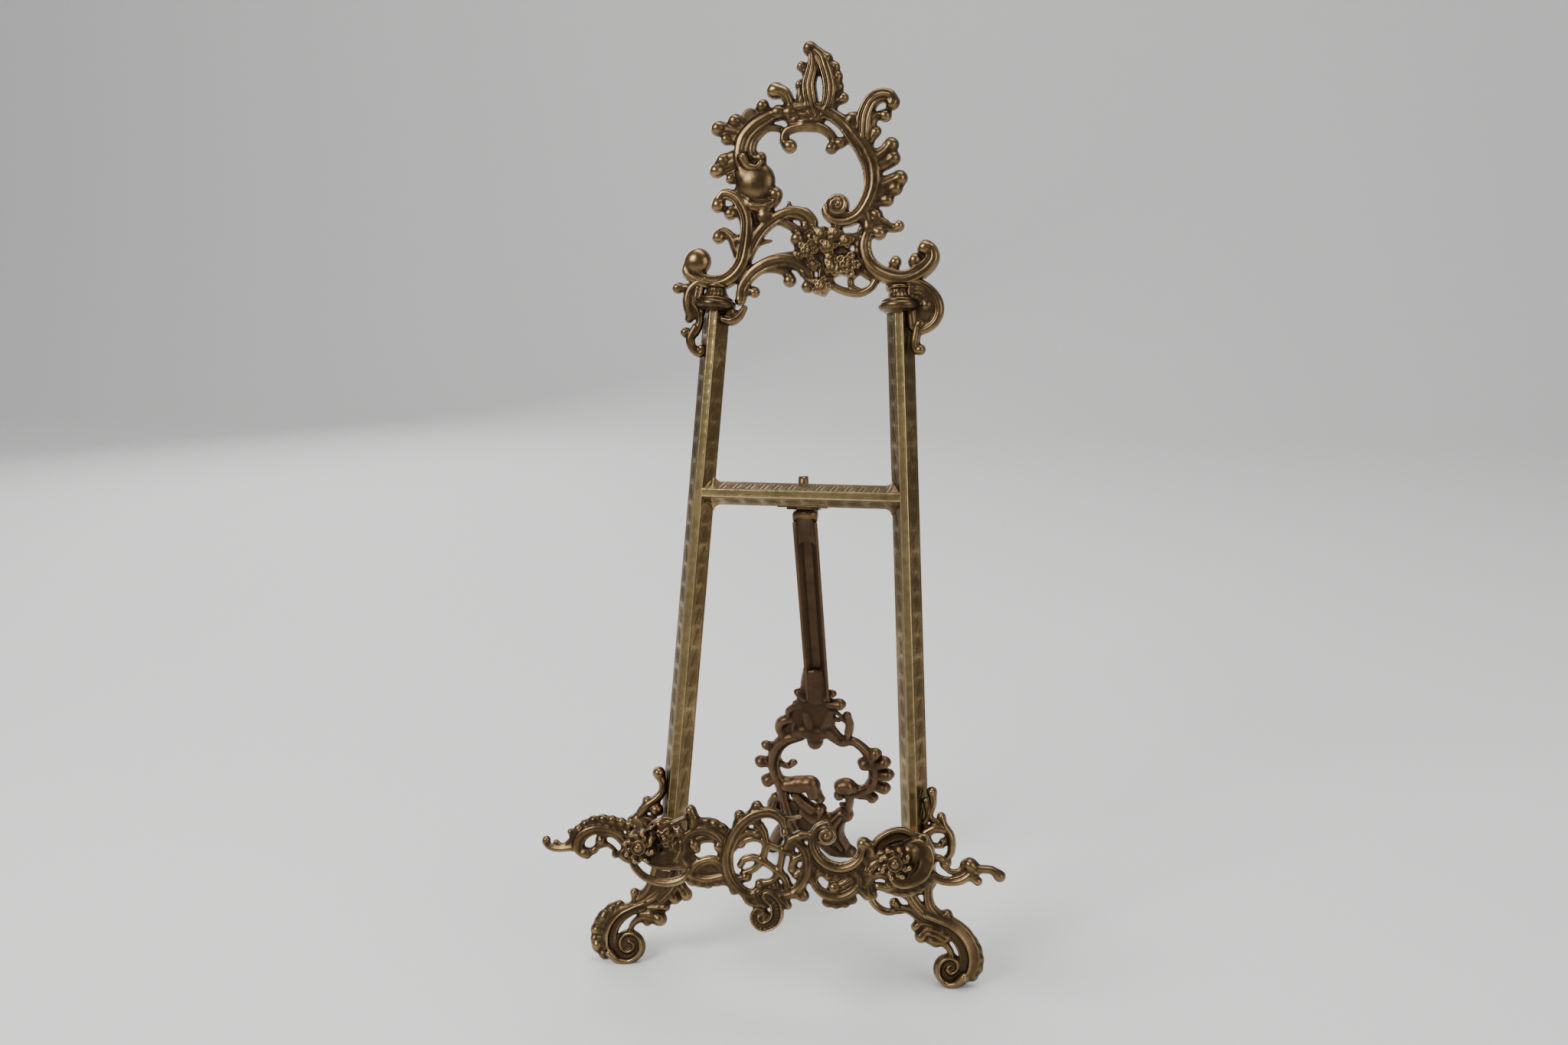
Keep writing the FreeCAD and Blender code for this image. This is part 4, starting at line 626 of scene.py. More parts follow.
CREST = [
    # plume
    ("plume", (6.5, 8, 7, 4.5), [(2, 472), (-1, 480), (-2.5, 489), (-1, 497), (-0.5, 504),
        (-2.5, 509)]),
    ("plume", (6, 8, 7.5, 5), [(6, 473), (8.5, 479), (9.5, 486), (8.5, 493), (6.5, 499), (4, 505),
        (-1, 509.5)]),
    ("lined", (4, 4, 3), [(-7, 475), (-6.5, 482), (-4.5, 489), (-4.8, 496), (-7, 499.5)]),
    ("leaf", (4, 5, 3), [(8, 478), (11.5, 484), (13, 490), (11.5, 497), (7.5, 503.5)]),
    ("lined", (4.5, 3.5), [(9, 474), (13, 479), (16.5, 482)]),
    ("round", (3, 2), [(-6.5, 478), (-8, 484), (-8, 490)]),
    # top ridge running into the big right C
    ("scroll", (6, 6.5, 7, 9, 9.5, 8, 7, 6), [(-10, 476), (-2, 477), (6, 475), (13, 471.5),
        (19, 466.5), (24, 460.5), (28.5, 455), (32, 449), (34, 443), (34.7, 436), (33.7, 430),
        (31, 423.5), (27, 418), (21, 415), (15, 415.2), (11, 418), (9.8, 421)]),
    # left outer C and inner C
    ("scroll", (6, 7, 7.5, 7, 6), [(-20, 474), (-25, 471.5), (-32, 467), (-37.5, 460.5),
        (-39.5, 453), (-39, 446.5), (-36, 442), (-31, 440.5)]),
    ("lined", (3.5, 4.5, 4), [(-18, 465.5), (-24, 466), (-29, 463), (-32.5, 458), (-33, 452),
        (-30.5, 448.5)]),
    # inner scroll under the ridge
    ("lined", (4, 5, 5.5, 5, 4), [(-12, 456), (-15.5, 459), (-14, 464), (-8, 466.3), (-2, 466.6),
        (5, 465.7), (10.5, 462), (12.8, 457.5), (11.5, 455)]),
    ("leaf", (7, 8, 4), [(-11, 471), (-4, 471), (5, 470.5)], 0.8),
    # right plumes
    ("plume", (6, 8, 8.5, 7.5, 6), [(29, 453), (28.5, 461), (28.5, 468), (29.5, 474), (32.5, 480),
        (37, 483), (42, 483), (44.5, 480)]),
    ("lined", (4, 4.5, 3.5), [(31, 459), (33, 467), (35.5, 472), (40, 473)]),
    ("lined", (4.5, 3.5), [(31, 455), (34.5, 461.5), (36, 464)]),
    ("lined", (4, 5, 4), [(22, 469), (23.5, 465.5), (27, 462)]),
    ("lined", (3.5, 4.5, 5), [(17, 458), (22, 459), (27, 456.5), (30.5, 450)]),
    # right outer shells
    ("lined", (8.1, 7.4), [(36, 449), (40.5, 452), (43.5, 455.5)], 0.75),
    ("lined", (8.1, 6.8), [(37, 445), (41.5, 446.5), (45, 448.5)], 0.75),
    ("lined", (9.5, 7.4), [(37, 433), (43, 435), (48.5, 437.7)], 0.75),
    ("lined", (8.1, 6.8), [(37, 430.5), (42.5, 431), (46.5, 432.5)], 0.75),
    ("lined", (6.8, 5.4), [(35, 425.5), (42, 426)], 0.75),
    ("lined", (6.8, 5.4), [(31, 421.5), (36.5, 418)], 0.75),
    # left outer shells
    ("lined", (7.1, 6.5), [(-35, 462), (-43, 464), (-51.5, 465.7)], 0.6),
    ("lined", (7.1, 6.5), [(-35, 464), (-39.5, 467.5), (-43, 469.5)], 0.6),
    ("round", (6, 5.1), [(-38, 459), (-47, 460)], 0.6),
    ("lined", (7.1, 6.5), [(-39, 449), (-46, 446), (-52, 443)], 0.6),
    ("lined", (7.1, 6.5), [(-39, 451), (-44, 450), (-49, 448)], 0.6),
    ("round", (6, 4.5), [(-38, 443), (-44, 438.5)], 0.6),
    ("lined", (5, 6, 7), [(-12, 476), (-13.5, 481), (-16, 485), (-20, 486.5)]),
    ("web", (6, 8), [(-31, 470), (-35, 472.5)], 0.7),
    ("lined", (6, 5.1), [(-27, 472), (-28, 477)], 0.6),
    ("round", (5, 4.5, 3.5, 3), [(-37.5, 449), (-34.5, 444.5), (-30, 443.5),
        (-27.5, 446.5)], 1.5, 3),
    # neck, crescent and bulb below the pouch
    ("round", (6, 5, 6), [(-32, 436), (-33, 429), (-34, 424)]),
    ("scroll", (5, 7, 7, 5), [(-38, 428), (-32, 423.5), (-25, 423), (-20, 425.5), (-19.5, 428.5)]),
    # left stems
    ("scroll", (6, 7.5, 8, 8, 7.5, 7, 6, 5), [(-61, 390), (-66.5, 389.5), (-66.5, 385.5),
        (-61, 381.8), (-54, 380), (-47, 381), (-41, 385), (-37, 391), (-35.3, 398), (-34.3, 408),
        (-34.8, 416), (-37.8, 423), (-42, 427.5), (-48, 429.5), (-51.5, 426)]),
    ("lined", (5, 4.5, 4), [(-35.5, 408), (-37, 415.5), (-40.5, 420.5), (-44, 421)]),
    ("lined", (5, 5, 4), [(-38, 392), (-41, 400), (-43.5, 405.5), (-48, 408.7), (-51, 407.5)]),
    # middle stem and its drooping tips
    ("scroll", (6, 6.5, 6.5, 6, 5), [(-37, 390), (-32.5, 399), (-29, 406), (-24, 412), (-17, 417),
        (-10, 419.5), (-3, 418.5), (2, 414)]),
    ("leaf", (5, 2), [(-12, 419), (-11.5, 424.5)]),
    ("lined", (4.5, 4.5, 4), [(-17, 415), (-10.5, 412), (-6.5, 409), (-6, 406)]),
    ("lined", (4, 4, 3), [(-12, 418), (-5, 416.5), (-2, 412)]),
    ("lined", (4.5, 4, 3.5), [(-2, 419), (1.5, 415.5), (2.8, 410), (1.3, 406.5)]),
    ("round", (4, 1.5), [(-30, 402), (-25, 403), (-21, 403.5)]),
    # lower stem
    ("scroll", (5, 6, 7, 7, 6, 5), [(-37.5, 371), (-36.3, 378), (-32, 384.5), (-27, 388.7),
        (-20, 392), (-12, 393), (-5, 391), (0, 386.3), (1.8, 381.5)]),
    ("lined", (4.5, 4.5, 4), [(-25, 388.5), (-17, 388), (-11.5, 385.5), (-10, 382.5)]),
    ("lined", (4, 3), [(-12, 391), (-5.5, 388.5), (-2, 386)]),
    ("leaf", (5, 2), [(-17, 393), (-7.5, 397.5)]),
    ("lined", (5, 4, 3), [(-37.5, 370.5), (-35.5, 374.5), (-32, 376.2), (-29.5, 375.5)]),
    # stalks and ground of the flower cluster
    ("web", (12, 16, 14, 10), [(-1, 398), (7, 397), (15, 395), (23, 391)], 0.42),
    ("web", (9, 11, 8), [(9, 406), (12, 398), (14, 388)], 0.42),
    ("lined", (3.5, 4, 4), [(11, 385), (14.5, 379), (21, 376), (29, 375), (35, 378), (38, 382.5)]),
    ("lined", (3, 3.5, 3), [(33.5, 384), (29, 386.6), (24.5, 383.5), (24.5, 379), (28, 376.5)]),
    ("round", 3, [(8, 390), (7, 384), (8, 380)]),
    ("round", 4, [(21, 404), (26, 406), (31, 405)]),
    ("round", 4, [(-3, 397), (-8, 394)]),
    ("round", 4, [(15, 407), (16, 412), (17, 416)]),
    # right lower C
    ("scroll", (5, 6, 7, 8, 8, 7.5, 6), [(38.5, 408.5), (34, 409), (31.6, 404), (31.6, 398),
        (34, 392), (39, 387), (46, 384), (53, 383.2), (59, 385), (65, 389), (68.5, 394),
        (67.7, 398.6), (65, 400)]),
    ("beads", 3.6, [(29.5, 412), (27.5, 405), (27.3, 398), (29, 391.5), (33, 386),
        (38, 382)], 0.8),
    ("leaf", (5, 5, 3), [(35, 414), (40, 414), (45.5, 410.5), (49.5, 411)]),
    ("lined", (6, 5), [(31, 418), (33, 411)]),
    ("round", (4, 4.5), [(47, 386), (48, 391.5)]),
    ("round", 5, [(59, 387), (59, 392)]),
    ("lined", (6, 5), [(47, 378), (49, 383)]),
]
CREST_KNOBS = [
    (3.6, -3, 510), (2.6, -7, 500), (3.1, 7.3, 504), (2.8, 12, 499.3), (2.6, 13.8, 494),
    (2.9, 14.3, 488), (3.1, 17, 482), (2.2, -8, 490), (4.6, -19, 474.3), (4.3, -12.8, 474.3),
    (2.9, -4.8, 468.5), (11, -30.5, 436.5, 1.3), (5, -37.5, 440), (3.5, -28.3, 449.5),
    (4.1, -12, 455.7), (3.6, 11.2, 454.7), (3.6, 44, 478.5), (3.6, 40.5, 472), (2.6, 35.7, 463.3),
    (4.3, 22, 470.3), (3.1, 16, 457.3), (3.8, 44.3, 456.4), (3.7, 45.3, 449), (4, 49.6, 438),
    (3.7, 47.2, 432.6), (3.4, 43, 426), (3.2, 37.3, 417.8), (4, -53, 466), (3.8, -43.6, 470),
    (3, -48, 460), (4, -53, 442.5), (3.8, -49.7, 448), (2.9, -44.8, 438), (4.6, -21.6, 486.5),
    (3.7, -28, 478.3), (2.8, -39.7, 432), (4.2, -19.4, 429.3), (5.4, -25, 417.2),
    (4.2, -51.4, 423.2), (3.7, -44.5, 418.6), (3.8, -50.7, 405.5), (3.2, -39.2, 404),
    (7.8, -62.3, 391.8, 1.25), (4.3, -6.3, 404.8), (2.6, -2, 411.5), (3.2, 1, 405.7),
    (3.8, 0.2, 378.6), (3.8, -10, 381.6), (2.5, -2, 386), (3.1, -29.6, 375), (4, 39, 408),
    (4.3, 64.3, 400), (3.4, 48.2, 392.3), (3.8, 59, 393.4), (3.1, 49.6, 412), (2.9, 49, 381),
    (3.8, 33, 411), (3.8, 30.5, 450.5),
]
CREST_ROSES = [
    (6, 0, 398), (7.1, 22.5, 390.3), (5.1, 14, 389), (4.4, 7, 407.3), (4.4, 15, 408),
    (4.5, 21, 403.6), (5.1, 11.5, 400.5), (4.1, 12.5, 394.5), (4.1, 3.2, 390.7), (5.5, 8, 378.5),
    (3.4, -5.5, 395.5), (3.7, 5, 402.5),
]
CREST_VOLUTES = [(6.8, 15.5, 423, 1.9, 1), (4.4, -10, 471.7, 1.5, -1)]

RAIL = [
    # left wing
    ("scroll", (3.3, 3.7, 3.7, 4.1, 4.9, 5.3, 5.3, 4.9, 4.1), [(-74.4, 79.5), (-78.6, 84),
        (-84.4, 86.1), (-90.6, 86.5), (-95.5, 85), (-99.2, 82), (-100.7, 77.9), (-99.8, 74.4),
        (-96.4, 73)]),
    ("comb", (3.3, 4.1, 4.9, 4.9, 4.5, 3.7), [(-73.4, 87.5), (-79.2, 89.2), (-85, 90),
        (-90.7, 90.1), (-95.6, 88.6), (-99.7, 86), (-102.5, 83)], 0.8),
    ("round", (2.1, 2.5, 2.1), [(-102, 80.6), (-102.3, 77.4), (-103.5, 75.7)]),
    ("lined", (4.1, 3.3, 3.3, 3.3, 2.9), [(-100.7, 76.7), (-106, 75.6), (-111.4, 74.9),
        (-116, 75.4), (-118.7, 77.6), (-118.2, 79.3)]),
    ("round", (1.8, 1.8, 2.1, 2.1, 1.6), [(-112.3, 77.6), (-109, 77), (-105.7, 79.2),
        (-104.1, 82.5), (-105, 84.5)]),
    ("scroll", (2.9, 2.9, 2.9, 3.1, 2.9, 2.9), [(-75.6, 77.9), (-79, 81.6), (-82.3, 83.8),
        (-86, 84), (-89.3, 82.2), (-90, 79.4)]),
    ("round", (2.5, 2.3, 2.3, 2.1), [(-89.2, 78.2), (-85.5, 78.5), (-82.1, 76.7), (-80.4, 74.4)]),
    ("lined", 2.5, [(-89.6, 78.2), (-92, 75.7), (-94.8, 73.9)]),
    ("lined", (3.3, 3.7, 3.3), [(-74.8, 77.5), (-77.1, 74.2), (-74.2, 71.6)]),
    ("lined", 4.1, [(-72.9, 84), (-69.2, 81.8)]),
    # left swag under the boss
    ("scroll", (3.3, 3.7, 3.7, 3.7, 3.7, 3.7, 3.7, 3.3, 2.5), [(-72.2, 72.1), (-70.4, 67.9),
        (-66.6, 64.1), (-61.7, 61.7), (-56.4, 60.8), (-50.7, 61.2), (-45.5, 63.1), (-42.3, 66.5),
        (-42.8, 70)]),
    ("round", (2.5, 2.1, 2.1, 2.1, 2.1), [(-65.6, 72.5), (-61.1, 69.6), (-55.4, 68.8),
        (-49.3, 69.6), (-43.3, 71.6)]),
    ("web", (13.9, 16.4, 13.9), [(-59.7, 78.5), (-53.6, 76.9), (-47.9, 76)], 0.55),
    ("plume", (4.1, 5.7, 4.9), [(-47.8, 73.6), (-46.3, 77.7), (-46, 82.5)]),
    ("leaf", (2.9, 3.3, 2.1), [(-53.1, 88.8), (-48.7, 92.2), (-43.5, 95.3)]),
    ("lined", (4.5, 5.3, 4.1), [(-39.8, 91.5), (-39.9, 95.1), (-41.6, 98.5)]),
    # left ring
    ("scroll", (3.7, 4.1, 4.1, 4.1, 4.1, 4.1, 4.1, 3.7), [(-42.5, 72), (-44.6, 75.8),
        (-45.2, 80.9), (-43.3, 85.4), (-39.3, 88.4), (-34.5, 89.5), (-29.6, 88.6), (-25.9, 86.1),
        (-24.3, 83), (-25.4, 80.2)]),
    ("comb", (3.3, 4.1, 4.1, 3.7, 3.3), [(-40.9, 89.1), (-36.2, 92.1), (-31, 92.8), (-26.5, 91.1),
        (-22.4, 88.2)], 0.8),
    ("leaf", (3.7, 4.1, 3.3), [(-29.9, 85), (-34, 84.8), (-37.5, 83)], 0.7),
    ("lined", 3.7, [(-39.6, 82.9), (-37.8, 79)]),
    ("web", 4.9, [(-23.2, 87.8), (-23, 79.9), (-22.8, 72.9)], 0.9),
    ("web", 5.7, [(-44.2, 74.7), (-39.3, 72.6)], 0.9),
    ("scroll", 3.7, [(-40.3, 65.8), (-38.4, 69.9), (-34.8, 72.9), (-29.6, 74.4), (-25.2, 73.1),
        (-22.3, 69.3)]),
    ("round", (3.3, 3.7, 3.3), [(-39.9, 65.1), (-32.2, 63.8), (-23, 66.1)]),
    ("web", 5.7, [(-34.7, 68.2), (-25.9, 69.1)], 0.15),
    ("comb", 3.3, [(-40.6, 62.2), (-32.1, 62), (-21.7, 63.9)], 0.8),
    ("lined", (3.3, 4.1), [(-20.1, 64.4), (-17.6, 59)]),
    # cartouche
    ("scroll", (3.7, 4.9, 5.3, 5.3, 5.3, 5.3, 5.3, 5.3, 4.9, 4.1, 2.9), [(7.8, 93.6), (5.7, 97.4),
        (1.6, 99.9), (-3.9, 99.9), (-9.9, 97.2), (-15.3, 92.2), (-19.1, 85.7), (-21.3, 77.7),
        (-20.7, 69.4), (-17.3, 63), (-12.4, 59), (-7.5, 58.1), (-4, 60.3), (-3.7, 63.9)]),
    ("scroll", (2.9, 4.1, 4.9, 4.9, 4.9, 4.9, 4.5, 3.3), [(11.7, 82.1), (13.1, 85.7), (16.7, 83.9),
        (19.2, 80.2), (20.2, 75.2), (19.5, 69.3), (16.9, 64), (12.7, 59.8), (7.6, 58.7),
        (3.5, 60.8), (3.9, 63.6)]),
    ("lined", (3.7, 4.5, 4.5, 3.7), [(8.9, 82.7), (10.7, 86.3), (15.4, 88.9), (20.5, 89.6)]),
    ("round", (3.1, 3.3, 3.5, 3.3, 3.1), [(-4.6, 93.6), (-2, 88.3), (-1.8, 82), (-3.3, 76),
        (-7.1, 71.1), (-12.6, 68.4)]),
    ("lined", (2.7, 2.9, 2.9, 2.9), [(-14.6, 82.8), (-12.7, 84.9), (-7.5, 86.4), (-2.3, 85.1)]),
    ("lined", (3.1, 3.5, 3.7, 3.3), [(-18.2, 81), (-15.9, 85.9), (-12, 89.3), (-8, 89.5),
        (-5.6, 88.9)]),
    ("lined", (3.1, 3.5, 3.5, 3.1), [(-14.7, 72.2), (-12.4, 75.5), (-7.7, 76.6), (-2, 74.6),
        (3.6, 71)]),
    ("lined", (3.7, 3.3), [(-8.2, 95.8), (-3.3, 90.6)]),
    ("lined", (2.9, 3.3, 3.3), [(-1.5, 84.4), (4.5, 82.4), (11.7, 80.1)]),
    ("lined", (3.3, 3.3, 3.3, 2.9), [(7.3, 81.4), (6.7, 76.3), (5.3, 69.9), (2.6, 65.8),
        (-1.7, 64.4)]),
    ("lined", (3.3, 4.1, 3.7), [(4.8, 70.7), (8.9, 67), (10.7, 61.7)]),
    ("round", (3.7, 3.3), [(-15.3, 65.5), (-11, 66.5)]),
    ("lined", (3.7, 4.1, 3.7), [(17.7, 79.3), (13.4, 76.7), (12.3, 71.9)]),
    ("lined", 3.3, [(19, 72.8), (14.8, 69.4)]),
    ("web", 4.1, [(-5.6, 59), (-0.8, 60.5), (4, 58.9)], 0.9),
    # crown and edge of the cartouche
    ("lined", (3.7, 4.1), [(-6.8, 103.3), (-9.5, 98.8)]),
    ("lined", (3.3, 4.1), [(-15.9, 98.1), (-16.1, 92.9)]),
    ("lined", (2.5, 2.3, 1.6), [(3.2, 100.4), (9.6, 98), (16.3, 99.2)]),
    ("comb", 3.3, [(-22.9, 76), (-22.5, 64.2)], 0.7),
    # drop under the cartouche
    ("lined", (4.1, 4.1, 3.7), [(-11.9, 57.8), (-9.4, 54.1), (-4.6, 52.8)]),
    ("lined", 3.7, [(17.4, 62.1), (19.1, 58.3)]),
    # right inner scroll
    ("scroll", (3.3, 3.7, 4.1, 4.5, 4.9, 4.9, 4.9, 4.9, 4.5, 4.1), [(29.8, 96.1), (25.5, 94.6),
        (22.9, 89.8), (23, 84.3), (26, 79.1), (30.8, 75.5), (36.7, 74.3), (42.5, 75.8),
        (46.7, 79.6), (48.5, 84.7)]),
    ("comb", (2.9, 3.3, 3.3, 3.3), [(22.4, 78.1), (26.5, 72.8), (31.7, 70.5), (37.6, 70.1),
        (43.4, 71.6), (47.7, 74.6)], 0.8),
    ("lined", (4.1, 4.1, 3.3), [(49.6, 87.1), (53.2, 85), (54.1, 81.6)]),
    ("web", (5.7, 6.6), [(50.5, 83.7), (52.2, 79.9)], 0.8),
    ("web", 4.9, [(21.7, 75.7), (23.5, 70.3)], 0.8),
    # right lower scroll
    ("scroll", (3.7, 4.1, 4.5, 4.5, 4.5, 4.1, 3.3), [(22.3, 69.1), (25.2, 63.8), (30, 60.2),
        (37.1, 59.5), (43.3, 62.3), (46.7, 67.1), (46.2, 71)]),
    ("leaf", (4.1, 4.5, 3.7), [(33.9, 63.6), (38.5, 65.4), (43.1, 68.5)]),
    ("comb", (2.9, 3.3, 2.9), [(29.4, 56.3), (37.2, 56), (44.2, 58.8)], 0.8),
    ("lined", (4.1, 4.9), [(47.2, 64.8), (51.2, 61.2)]),
    # right arch over to the boss
    ("round", (2.9, 3.3, 3.3, 3.3, 3.3, 2.9), [(52.9, 82.3), (54.7, 87.8), (58.1, 91.5),
        (62.7, 94.1), (67.7, 95), (72.4, 93.6), (75.9, 90.3), (78, 86.2)]),
    ("fluted", (3.3, 3.7, 3.7, 3.3), [(56.3, 85.2), (60.1, 88.9), (64.7, 91.2), (69.7, 91.8),
        (74.4, 88.7)], 0.7),
    # round the right boss
    ("fluted", (4.5, 6.2, 7.4, 7, 6.2, 5.3, 4.1), [(79, 91.6), (81.1, 85.6), (81.2, 80.2),
        (79.1, 74.7), (74.6, 70.5), (69.2, 68.6), (63.8, 69.4)]),
    ("comb", (3.3, 3.7, 3.3), [(61.9, 65.8), (69.7, 64.4), (77.4, 66.8), (81.9, 71)], 0.8),
    ("web", (13.9, 15.6, 13.9), [(69.4, 74), (74, 78.2), (76.1, 83.7)], 2.5),
    ("lined", (3.3, 3.7, 3.7), [(56, 82.1), (60.7, 82.8), (63.8, 82.2)]),
    ("leaf", (3.7, 4.1, 3.3), [(51.2, 72.9), (54.6, 76.6), (58.4, 79.1)]),
    ("scroll", (3.3, 3.7, 3.7, 3.7, 3.3), [(64.2, 69.1), (59, 71.8), (54.4, 71.1), (51.8, 67.9),
        (51.9, 63.6), (54.3, 61)]),
    ("lined", (3.7, 4.1, 3.7), [(56.5, 66.2), (61.2, 65.8), (65.8, 66.8)]),
    ("web", 4.9, [(48.5, 72.7), (50.3, 65)], 0.8),
    # right wing
    ("scroll", (2.5, 3.3, 3.7, 4.1, 4.1, 4.1, 4.5, 4.1, 3.3), [(89.7, 79.2), (87.7, 82.2),
        (84.3, 81.5), (82.9, 78), (84.1, 73.8), (88.4, 71.4), (93.8, 71), (99.1, 72.5),
        (102.9, 75.8), (104.3, 79.7)]),
    ("round", (2.5, 2.5, 2.3, 2.1), [(89.4, 78.8), (92.9, 75.9), (97.1, 76.6), (99.7, 79.4)]),
    ("lined", (3.7, 3.7, 3.7, 4.1), [(104.3, 77.8), (109.3, 78.1), (113.9, 77.7), (117.4, 75.2)]),
    ("lined", (3.7, 2.9), [(103.3, 73.9), (106.8, 71.8)]),
    ("lined", 4.1, [(102.3, 80.8), (105.9, 77.1)]),
    # drop scroll under the cartouche
    ("fluted", (5, 6, 5.6, 4.8, 4), [(0, 57.5), (3.4, 55), (5.2, 51), (5, 47), (2.6, 43.7),
        (-1.5, 41.8), (-5.3, 43.6), (-6.3, 46.7), (-4.2, 49), (-1.5, 46.6)]),
    ("lined", (4, 4, 3.5), [(-6.5, 58.5), (-4.5, 54.5), (-1, 52.5)]),
    ("lined", (5, 4), [(7, 57), (10.5, 53.3)]),
    ("lined", (5, 3.5), [(14, 60), (17.5, 57.7)]),
]
RAIL_KNOBS = [
    (1.5, -118.1, 78.9), (1.1, -113.1, 78.4), (1.4, -105.6, 83.8), (2.7, -96.9, 73.8),
    (1.6, -92.4, 75.2), (2.6, -88.4, 80.3), (1.6, -81.2, 73.3), (2.3, -75.9, 73.1),
    (2.8, -41.6, 98.9), (2.5, -39.9, 93.9), (1.7, -35.8, 93), (1.7, -29.4, 92.5),
    (1.6, -23.2, 89.8), (2.5, -26.2, 81.3), (2.7, -39.5, 81.3), (1.7, -24.5, 75.9),
    (1.7, -39.9, 66.2), (1.7, -40.2, 61.9), (1.7, -35.7, 61.4), (1.8, -31.3, 60.9),
    (1.6, -26.5, 62.4), (1.8, -22.1, 63.4), (2.1, -4.5, 63.4), (1.9, 4.3, 62.8),
    (2.3, -6.8, 103.3), (2.2, -15.9, 98.1), (2.1, -16.5, 93.3), (3.3, 34.3, 64),
    (1.7, -14.6, 83.2), (2.1, -6.4, 89.2), (2.7, 15.8, 89), (2.5, 8.3, 90.1), (1.8, 13.8, 77.9),
    (2.3, 10.2, 62.4), (2.5, -11.4, 66.5), (1.8, 12.7, 72), (1.7, 14.4, 68.9), (1.9, 19, 59.1),
    (3.5, 48.5, 87.1), (1.8, 56.9, 79.8), (2.3, 52.8, 73), (1.9, 53.9, 62.2), (1.9, 90.5, 79.6),
    (3.3, 102.8, 79.6), (1.6, 99.7, 80.2), (2.5, 117.7, 75), (1.8, 106.8, 71.8), (1.9, -62, 87.8),
    (1.6, -44.5, 84.5), (1.8, -53.2, 91.5), (1.8, -55.2, 77.1), (1.6, -59.3, 78.5),
    (2.1, -65.6, 85.2), (9.8, 67.8, 79, 0.95), (5.7, 72.6, 85.1, 1.35), (7, -69.1, 78.3, 0.4),
    (1.7, -4.6, 52.8), (1.6, 22.7, 68.7), (2.1, -73.5, 89.5, 0.8), (2.3, -78, 90.9, 0.8),
    (2.4, -83, 91.6, 0.8), (2.5, -87.9, 91.7, 0.8), (2.4, -92.8, 90.6, 0.8),
    (2.2, -97.3, 88.5, 0.8), (2.1, -100.9, 85.5, 0.8), (2.1, -41, 90.7, 0.8),
    (2.1, -37, 92.5, 0.8), (2.1, -32.6, 93.5, 0.8), (2.1, -28.2, 92.8, 0.8),
    (2.1, -24.5, 90.9, 0.8), (1.9, 23.3, 74.2, 0.8), (2, 26.6, 71.3, 0.8), (2.1, 31, 69.2, 0.8),
    (2.1, 35.7, 68.8, 0.8), (2.1, 40.8, 69.7, 0.8), (1.9, 45, 72.1, 0.8), (1.8, 31, 55.6, 0.8),
    (1.8, 35.3, 55.1, 0.8), (1.8, 40, 55.8, 0.8), (1.8, 43.8, 58, 0.8), (1.9, 62, 65, 0.8),
    (2, 65.9, 63.5, 0.8), (2, 70.1, 63.4, 0.8), (2, 74.4, 64.5, 0.8), (2, 78.5, 66.9, 0.8),
    (2, 81.5, 70.2, 0.8),
]
RAIL_ROSES = [
    (5.1, -54.6, 84.3), (3.3, -47.4, 87.5), (3.3, -61.9, 83.1), (3.5, -57.6, 90.9),
    (2.9, -49.6, 79.9),
]
RAIL_VOLUTES = [(3.6, -1.2, 46.6, 1.4, 1), (5.3, 29.6, 90.6, 1.7, 1)]

